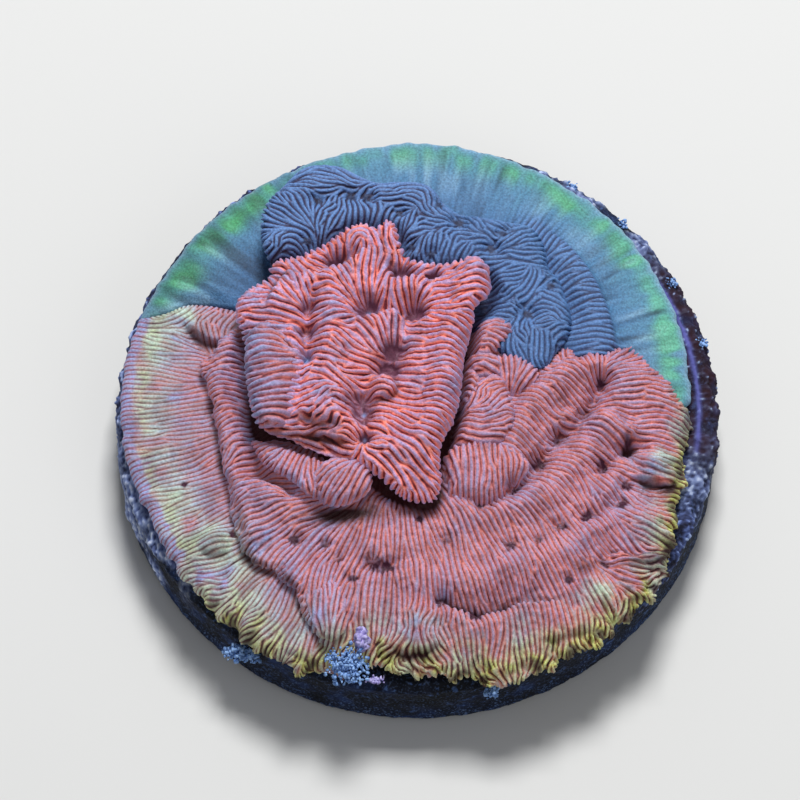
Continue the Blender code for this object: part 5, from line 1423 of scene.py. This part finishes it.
def discCeramic():
    # cast unglazed ceramic gone dark with algae, crusted with granular blue-violet coralline
    material, tree, shader = newMaterial("algaeStainedCeramic")
    on, place = fieldsOf(tree, "foot", "grains", "chalk", "brown", "thread", "crust")
    bare = addNode(tree, "ValToRGB", {"Fac": addNode(tree, "TexNoise", pattern(place, 1.4, 8))},
        stops=discCover["bare"])
    specks = addNode(tree, "TexNoise", pattern(place, 0.35, 4))
    specks = addNode(tree, "ValToRGB", {"Fac": specks}, stops=[(0.6, "#000000"), (0.68, "#ffffff")])
    dust = addNode(tree, "TexNoise", pattern(place, 0.12, 2))
    dust = addNode(tree, "ValToRGB", {"Fac": dust}, stops=[(0.54, "#000000"), (0.66, "#ffffff")])
    dusty = addNode(tree, "Math", {0: on["foot"], 1: 0.5, 2: 0.12}, operation="MULTIPLY_ADD", use_clamp=True)
    for name, share, amount in (("speck", specks, 0.6), ("foot", on["foot"], 0.35), ("dust", dust, dusty)):
        share = addNode(tree, "Math", {0: share, 1: amount}, **times)
        bare = addNode(tree, "Mix", {0: share, 6: bare, 7: hexToLinear(discCover[name])}, **mixing)
    crust, chalk = (addNode(tree, "ValToRGB", {"Fac": on["grains"]}, stops=discCover[name])
                    for name in ("crust", "chalk"))
    crust = addNode(tree, "Mix", {0: on["chalk"], 6: crust, 7: chalk}, **mixing)
    brown = addNode(tree, "Math", {0: on["brown"], 1: 0.92}, **times)
    for name, share in (("brown", brown), ("thread", on["thread"])):
        crust = addNode(tree, "Mix", {0: share, 6: crust, 7: hexToLinear(discCover[name])}, **mixing)
    pitted = addNode(tree, "TexNoise", pattern(place, 0.12, 4))
    feed(tree, shader, {
        "Base Color": addNode(tree, "Mix", {0: on["crust"], 6: bare, 7: crust}, **mixing),
        "Normal": addNode(tree, "Bump", {"Height": pitted, "Strength": 0.7, "Distance": 0.06 * mm}),
        "Roughness": 0.85, "Specular IOR Level": 0.25,
    })
    return material


def crumbMaterial(name, dark, light):
    # loose chalky crumbs of coralline alga, matt and grainy
    material, tree, shader = newMaterial(name)
    place = fieldsOf(tree)[1]
    mottle = addNode(tree, "TexNoise", pattern(place, 0.2))
    grain = addNode(tree, "TexNoise", pattern(place, 0.06))
    feed(tree, shader, {
        "Base Color": addNode(tree, "ValToRGB", {"Fac": mottle}, stops=[(0.3, dark), (0.7, light)]),
        "Normal": addNode(tree, "Bump", {"Height": grain, "Strength": 0.5, "Distance": 0.03 * mm}),
        "Roughness": 0.8,
    })
    return material


red = redTissue()
makePiece("crownSkin", crownParts(), "red_crown", red)
for side, half in zip(("West", "East"), halves(frontSkin(), front["cut"])):
    makePiece("frontSkin" + side, [half], "red_front_plate", red)
makePiece("frontLobes", frontLobes(), "red_front_plate", red)
makePiece("shelfSkin", [shelfSkin()], "red_side_shelf", red)
makePiece("greySkin", [greyApron(), greyBand()], "grey_colony", greyTissue())
makePiece("discSkin", [discPart()], "frag_disc", discCeramic())
crumbs = {
    "blue": crumbMaterial("blueCorallineCrumbs", "#3c66a8", "#a2c8f8"),
    "violet": crumbMaterial("violetCorallineCrumbs", "#7466ac", "#ccc6f4"),
}
for name, (*heap, colour) in crumbHeaps.items():
    grainHeap(name, *heap, crumbs[colour])
print("made", len(crumbHeaps), "heaps of crumbs on the disc")


# floor, light and camera
studio = {
    "paper": "#d4d4d2", "paperRough": 0.9, "air": (0.9, 0.93, 1.0, 1), "airStrength": 0.26,
    # softboxes as (place, size, power) in metres and watts, and the point they face
    "lamps": {"keySoftbox": ((0.02, 0.16, 0.31), 0.10, 1.3), "fillSoftbox": ((0.25, -0.25, 0.30), 0.35, 0.25)},
    "aim": (0, 0, 0.005),
    # camera: degrees up from level, the point it looks at and the frame's width in millimetres, metres away
    "rise": 66, "target": (-0.86, 2.12, 0.94), "frameWide": 40.4, "reach": 0.5,
}


def makeStage():
    mesh = bpy.data.meshes.new("floor")
    bm = bmesh.new()
    bmesh.ops.create_grid(bm, x_segments=1, y_segments=1, size=2.0)
    bm.to_mesh(mesh)
    bm.free()
    floor = bpy.data.objects.new("floor", mesh)
    bpy.context.scene.collection.objects.link(floor)
    material, tree, shader = newMaterial("palePaper")
    feed(tree, shader, {"Base Color": hexToLinear(studio["paper"]), "Roughness": studio["paperRough"]})
    mesh.materials.append(material)


def makeLight(name, place, size, power):
    lamp = bpy.data.lights.new(name, "AREA")
    lamp.size = size
    lamp.energy = power
    obj = bpy.data.objects.new(name, lamp)
    obj.location = place
    obj.rotation_euler = (Vector(studio["aim"]) - Vector(place)).to_track_quat("-Z", "Y").to_euler()
    bpy.context.scene.collection.objects.link(obj)


def makeCamera():
    # looks down on the disc's front
    up = math.radians(studio["rise"])
    target = Vector(studio["target"]) * mm
    back = Vector((0, -math.cos(up), math.sin(up)))
    camera = bpy.data.cameras.new("camera")
    camera.sensor_width = 36
    camera.lens = camera.sensor_width * studio["reach"] / (studio["frameWide"] * mm)
    camera.clip_start = 0.01
    obj = bpy.data.objects.new("camera", camera)
    obj.location = target + back * studio["reach"]
    obj.rotation_euler = (-back).to_track_quat("-Z", "Y").to_euler()
    bpy.context.scene.collection.objects.link(obj)
    bpy.context.scene.camera = obj


makeStage()
for name, lamp in studio["lamps"].items():
    makeLight(name, *lamp)
world = bpy.data.worlds.new("studio")
bpy.context.scene.world = world
world.use_nodes = True
world.node_tree.nodes["Background"].inputs["Color"].default_value = studio["air"]
world.node_tree.nodes["Background"].inputs["Strength"].default_value = studio["airStrength"]
bpy.context.scene.view_settings.view_transform = "Standard"
makeCamera()
print("set the stage: floor, softboxes, studio air and camera")
